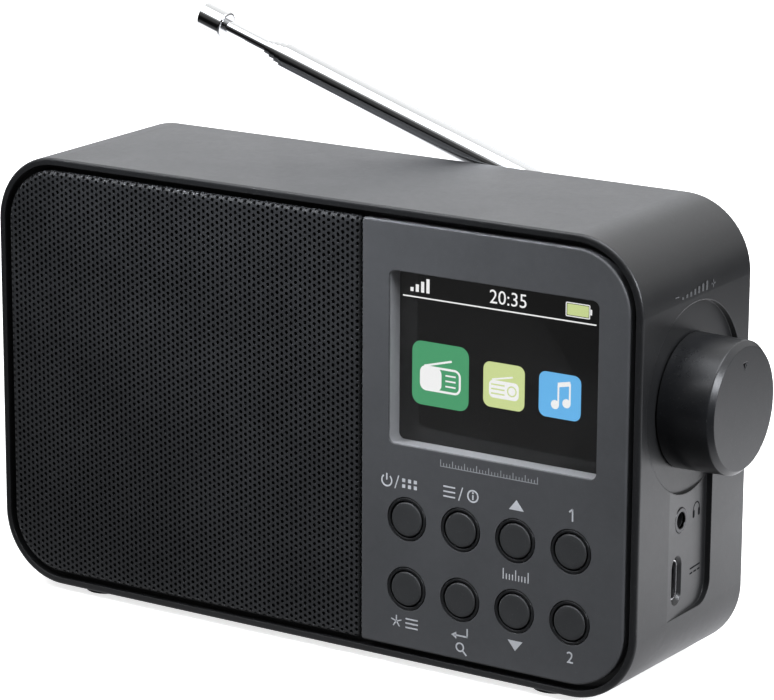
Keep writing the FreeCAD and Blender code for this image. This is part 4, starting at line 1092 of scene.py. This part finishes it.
# Display: module, picture, clear window and the smooth lining of the window opening, whose pale grey is
# painted reflection
module = {"front": -22.405, "edge": 0.25, "backRim": 1.2, "backSlope": 0.3, "backRise": 0.3, "frontRim": 0.8,
          "frontSlope": 0.1, "frontDepth": 0.04}
picture = {"face": -22.41, "step": 0.012, "film": 0.004, "size": (55.0, 41.0), "line": (47.1, 30.55),
           "signal": (25.4, 31.9), "clock": (49.6, 33.1), "battery": (66.6, 33.1),
           "radioTile": (32.8, 13.95, 14.4, 14.2, 2.3), "dialTile": (48.8, 14.0, 10.3, 10.0, 1.7),
           "musicTile": (62.6, 13.95, 10.3, 9.9, 1.7)}
lens = {"thickness": 0.8, "edge": 0.12}
window = {"middle": (48.66, 17.8), "width": 52.15, "height": 38.8, "radius": 1.6, "thickness": 0.12,
          "front": -27.3, "back": -23.44}


def makeModule():
    low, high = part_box("display_module")
    front = module["front"] * mm
    bpy.ops.mesh.primitive_cube_add(size=1, location=((low.x + high.x) / 2, (front + high.y) / 2,
                                                      (low.z + high.z) / 2))
    piece = bpy.context.object
    piece.name = "displayModule"
    piece.scale = (high.x - low.x, high.y - front, high.z - low.z)
    settle(piece)
    addModifier(piece, "BEVEL", width=module["edge"] * mm, segments=2)
    editMode(piece)
    pickFaces(lambda centre, normal: normal.y > facing)
    bpy.ops.mesh.inset(thickness=module["backRim"] * mm)
    bpy.ops.mesh.inset(thickness=module["backSlope"] * mm)
    moveMesh(y=-module["backRise"] * mm)
    pickFaces(lambda centre, normal: normal.y < -facing)
    bpy.ops.mesh.inset(thickness=module["frontRim"] * mm)
    bpy.ops.mesh.inset(thickness=module["frontSlope"] * mm, depth=-module["frontDepth"] * mm)
    objectMode()
    piece.data.materials.append(finishes["partsPlastic"])
    smooth(piece)
    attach(piece, "case")
    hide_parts("display_module")


def film(shapes, name, finish, level):
    # one lit layer of the picture; a higher level lies in front
    return layer(shapes, name, picture["face"] - level * picture["step"], finish, picture["film"])


def signalBars():
    x, z = worldPlace(*picture["signal"])
    bars = []
    for index in range(4):
        tall = 0.9 + index * 0.75
        bars.append(bar(x + index * 1.35, z + tall / 2 - 0.2, 0.8, tall))
    return bars


def portableRadio(x, z):
    # body, speaker, raised antenna and three lines
    shapes = [hollow(rounded(x, z - 1.0, 10.4, 5.6, 1.6), 0.5), rounded(x - 2.3, z - 1.0, 5.2, 5.2, 1.4),
              bar(x - 0.6, z + 2.6, 7.2, 0.45, -15)]
    for index in range(3):
        shapes.append(bar(x + 2.6, z + 0.2 - index * 1.2, 2.6, 0.36))
    return shapes


def musicNotes(x, z):
    return [disc(x - 1.15, z - 2.0, 1.0, 20), disc(x + 1.65, z - 1.4, 1.0, 20),
            bar(x - 0.36, z + 0.2, 0.42, 4.4), bar(x + 2.44, z + 0.8, 0.42, 4.4),
            bar(x + 1.04, z + 2.7, 3.1, 1.0, -12)]


def dialRadio(x, z):
    return [rounded(x, z - 0.9, 7.4, 3.9, 1.1), bar(x - 0.4, z + 1.7, 5.2, 0.35, -12)]


def dialFace(x, z):
    shapes = [hollow(disc(x + 2.0, z - 0.9, 1.2), 0.3)]
    for index in range(3):
        shapes.append(bar(x - 1.5, z + 0.1 - index * 1.0, 3.4, 0.32))
    return shapes


def makePicture():
    x, z = worldPlace(*window["middle"])
    films = [film([bar(x, z, *picture["size"])], "displayGround", "pictureGround", 0)]
    x, z = worldPlace(*picture["line"])
    white = [bar(x, z, 48.0, 0.3)]
    white += signalBars()
    x, z = worldPlace(*picture["clock"])
    white.append(figures(x, z, 3.0, "20:35"))
    x, z = worldPlace(*picture["battery"])
    white.append(hollow(rounded(x, z, 5.9, 3.1, 0.3, 3), 0.22))
    white.append(bar(x + 3.2, z, 0.4, 1.2))
    films.append(film([rounded(x, z, 5.2, 2.4, 0.15, 2)], "batteryCharge", "pictureLime", 1))
    tiles = (("radioTile", "pictureGreen", portableRadio), ("dialTile", "pictureLime", dialRadio),
             ("musicTile", "pictureBlue", musicNotes))
    for tile, finish, sign in tiles:
        across, up, *sizes = picture[tile]
        x, z = worldPlace(across, up)
        films.append(film([rounded(x, z, *sizes)], tile, finish, 1))
        white += sign(x, z)
    films.append(film(white, "pictureWhite", "pictureWhite", 2))
    films.append(film(dialFace(*worldPlace(*picture["dialTile"][:2])), "pictureDial", "pictureLime", 3))
    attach(joinPieces(films, "displayPicture"), "case")


def makeLens():
    low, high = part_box("display_lens")
    thickness = lens["thickness"] * mm
    bpy.ops.mesh.primitive_cube_add(size=1, location=((low.x + high.x) / 2, low.y + thickness / 2,
                                                      (low.z + high.z) / 2))
    piece = bpy.context.object
    piece.name = "displayLens"
    piece.scale = (high.x - low.x, thickness, high.z - low.z)
    settle(piece)
    addModifier(piece, "BEVEL", width=lens["edge"] * mm, segments=2)
    piece.data.materials.append(finishes["lens"])
    smooth(piece)
    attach(piece, "case")
    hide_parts("display_lens")


def makeWindowReflectionLining():
    # the lining's pale colour is painted reflection on the walls of the window opening
    x, z = worldPlace(*window["middle"])
    shape = rounded(x, z, window["width"], window["height"], window["radius"], 10)
    lining = hollow(shape, window["thickness"])
    lining.name = "windowLining"
    editMode(lining)
    pickAll()
    moveMesh(y=window["back"] * mm)
    pullOut((window["front"] - window["back"]) * mm)
    alignNormals()
    objectMode()
    lining.data.materials.append(finishes["liningPlastic"])
    smooth(lining)
    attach(lining, "case")


makeModule()
makePicture()
makeLens()
makeWindowReflectionLining()
print("display made")


# Stage: a pale floor and soft light. Seen directly the floor is white, with a soft shadow. In mirrored views
# it is brightest beside the radio, fades outwards, and is darker ahead of the radio and right under it. Each
# fade goes from its first two numbers, metres or parts of a direction, to its last two, strengths.
stage = {"floorSize": 8.0, "drop": 0.05, "floorColour": 0.75, "bounceColour": 0.12,
         "seenFade": (0.16, 0.45, 0.75, 1.0), "glossFade": (0.18, 0.38, 2.25, 0.1),
         "glossAhead": (-0.05, 0.0, 0.06, 1.0), "glossUnder": (0.09, 0.17, 0.5, 1.0),
         "glossTint": (0.98, 0.985, 1.02)}
sky = {"behind": (-0.3, 0.6, 0.08, 0.72), "horizon": (0.0, 0.24, 0.12, 1.0), "overhead": (0.4, 0.6, 0.0, 0.6)}
lampTint = (0.955, 0.985, 1.045)
lamps = {
    "backSoft": {"place": (-0.62, 0.95, 0.42), "size": 0.9, "power": 1.18},
    "frontSoft": {"place": (-0.27, -0.31, 0.55), "size": 0.1, "power": 0.21,
                  "aim": (-0.05, -0.03, 0.185), "spread": 24, "mirrored": False},
    "leftSoft": {"place": (-0.34, -0.34, 0.87), "size": 0.8, "power": 3.6},
    "rightSoft": {"place": (0.75, -0.13, 0.4), "size": 0.3, "power": 5.3},
    "topSoft": {"place": (0.15, -0.05, 0.7), "size": 0.5, "power": 2.8},
}


def makeFloor():
    bpy.ops.mesh.primitive_plane_add(size=stage["floorSize"], location=(0, 0, -stage["drop"] * mm))
    floor = bpy.context.object
    floor.name = "stageFloor"
    settle(floor)
    material = bpy.data.materials.new("stageFloor")
    material.use_nodes = True
    tree = material.node_tree
    tree.nodes.clear()
    output = tree.nodes.new("ShaderNodeOutputMaterial")
    diffuse = tree.nodes.new("ShaderNodeBsdfDiffuse")
    emission = tree.nodes.new("ShaderNodeEmission")
    length = tree.nodes.new("ShaderNodeVectorMath")
    length.operation = "LENGTH"
    tree.links.new(objectCoordinate(tree), length.inputs[0])
    distance = length.outputs["Value"]
    seen = rangeNode(tree, distance, *stage["seenFade"])
    ahead = rangeNode(tree, objectAxes(tree)["Y"], *stage["glossAhead"])
    mirrored = product(tree, rangeNode(tree, distance, *stage["glossFade"]), ahead)
    mirrored = product(tree, mirrored, rangeNode(tree, distance, *stage["glossUnder"]))
    path = tree.nodes.new("ShaderNodeLightPath")
    direct = path.outputs["Is Camera Ray"]
    shiny = mathNode(tree, "MAXIMUM", path.outputs["Is Glossy Ray"], path.outputs["Is Transmission Ray"])
    strength = mathNode(tree, "ADD", product(tree, direct, seen), product(tree, shiny, mirrored))
    tree.links.new(strength, emission.inputs["Strength"])
    tinted = mixColour(tree, direct, stage["glossTint"], (1.0, 1.0, 1.0))
    tree.links.new(tinted, emission.inputs["Color"])
    pale = mixColour(tree, direct, (stage["bounceColour"],) * 3, (stage["floorColour"],) * 3)
    tree.links.new(mixColour(tree, shiny, pale, (0.0, 0.0, 0.0)), diffuse.inputs["Color"])
    both = tree.nodes.new("ShaderNodeAddShader")
    tree.links.new(diffuse.outputs[0], both.inputs[0])
    tree.links.new(emission.outputs[0], both.inputs[1])
    tree.links.new(both.outputs[0], output.inputs["Surface"])
    floor.data.materials.append(material)


def makeWorld():
    world = bpy.data.worlds.new("studio")
    scene.world = world
    world.use_nodes = True
    tree = world.node_tree
    background = tree.nodes["Background"]
    background.inputs["Color"].default_value = (1, 1, 1, 1)
    direction = tree.nodes.new("ShaderNodeSeparateXYZ")
    tree.links.new(tree.nodes.new("ShaderNodeTexCoord").outputs["Generated"], direction.inputs["Vector"])
    behind = rangeNode(tree, direction.outputs["Y"], *sky["behind"])
    horizon = rangeNode(tree, direction.outputs["Z"], *sky["horizon"])
    overhead = rangeNode(tree, direction.outputs["Z"], *sky["overhead"])
    mirrored = mathNode(tree, "ADD", product(tree, behind, horizon), overhead)
    path = tree.nodes.new("ShaderNodeLightPath")
    strength = rangeNode(tree, path.outputs["Is Camera Ray"], 0, 1, mirrored, 1.0)
    tree.links.new(strength, background.inputs["Strength"])


def aimAt(lamp, point):
    lamp.rotation_euler = (Vector(point) - lamp.location).to_track_quat("-Z", "Y").to_euler()


def makeLamps():
    for name, lamp in lamps.items():
        bpy.ops.object.light_add(type="AREA", location=lamp["place"])
        light = bpy.context.object
        light.name = name
        light.data.shape = "DISK"
        light.data.size = lamp["size"]
        light.data.energy = lamp["power"]
        light.data.color = lampTint
        light.data.spread = math.radians(lamp.get("spread", 180))
        light.visible_glossy = lamp.get("mirrored", True)
        aimAt(light, lamp.get("aim", (0, 0, 0.05)))


makeFloor()
makeWorld()
makeLamps()
scene.view_settings.view_transform = "Standard"
print("stage made")

print("finishing")
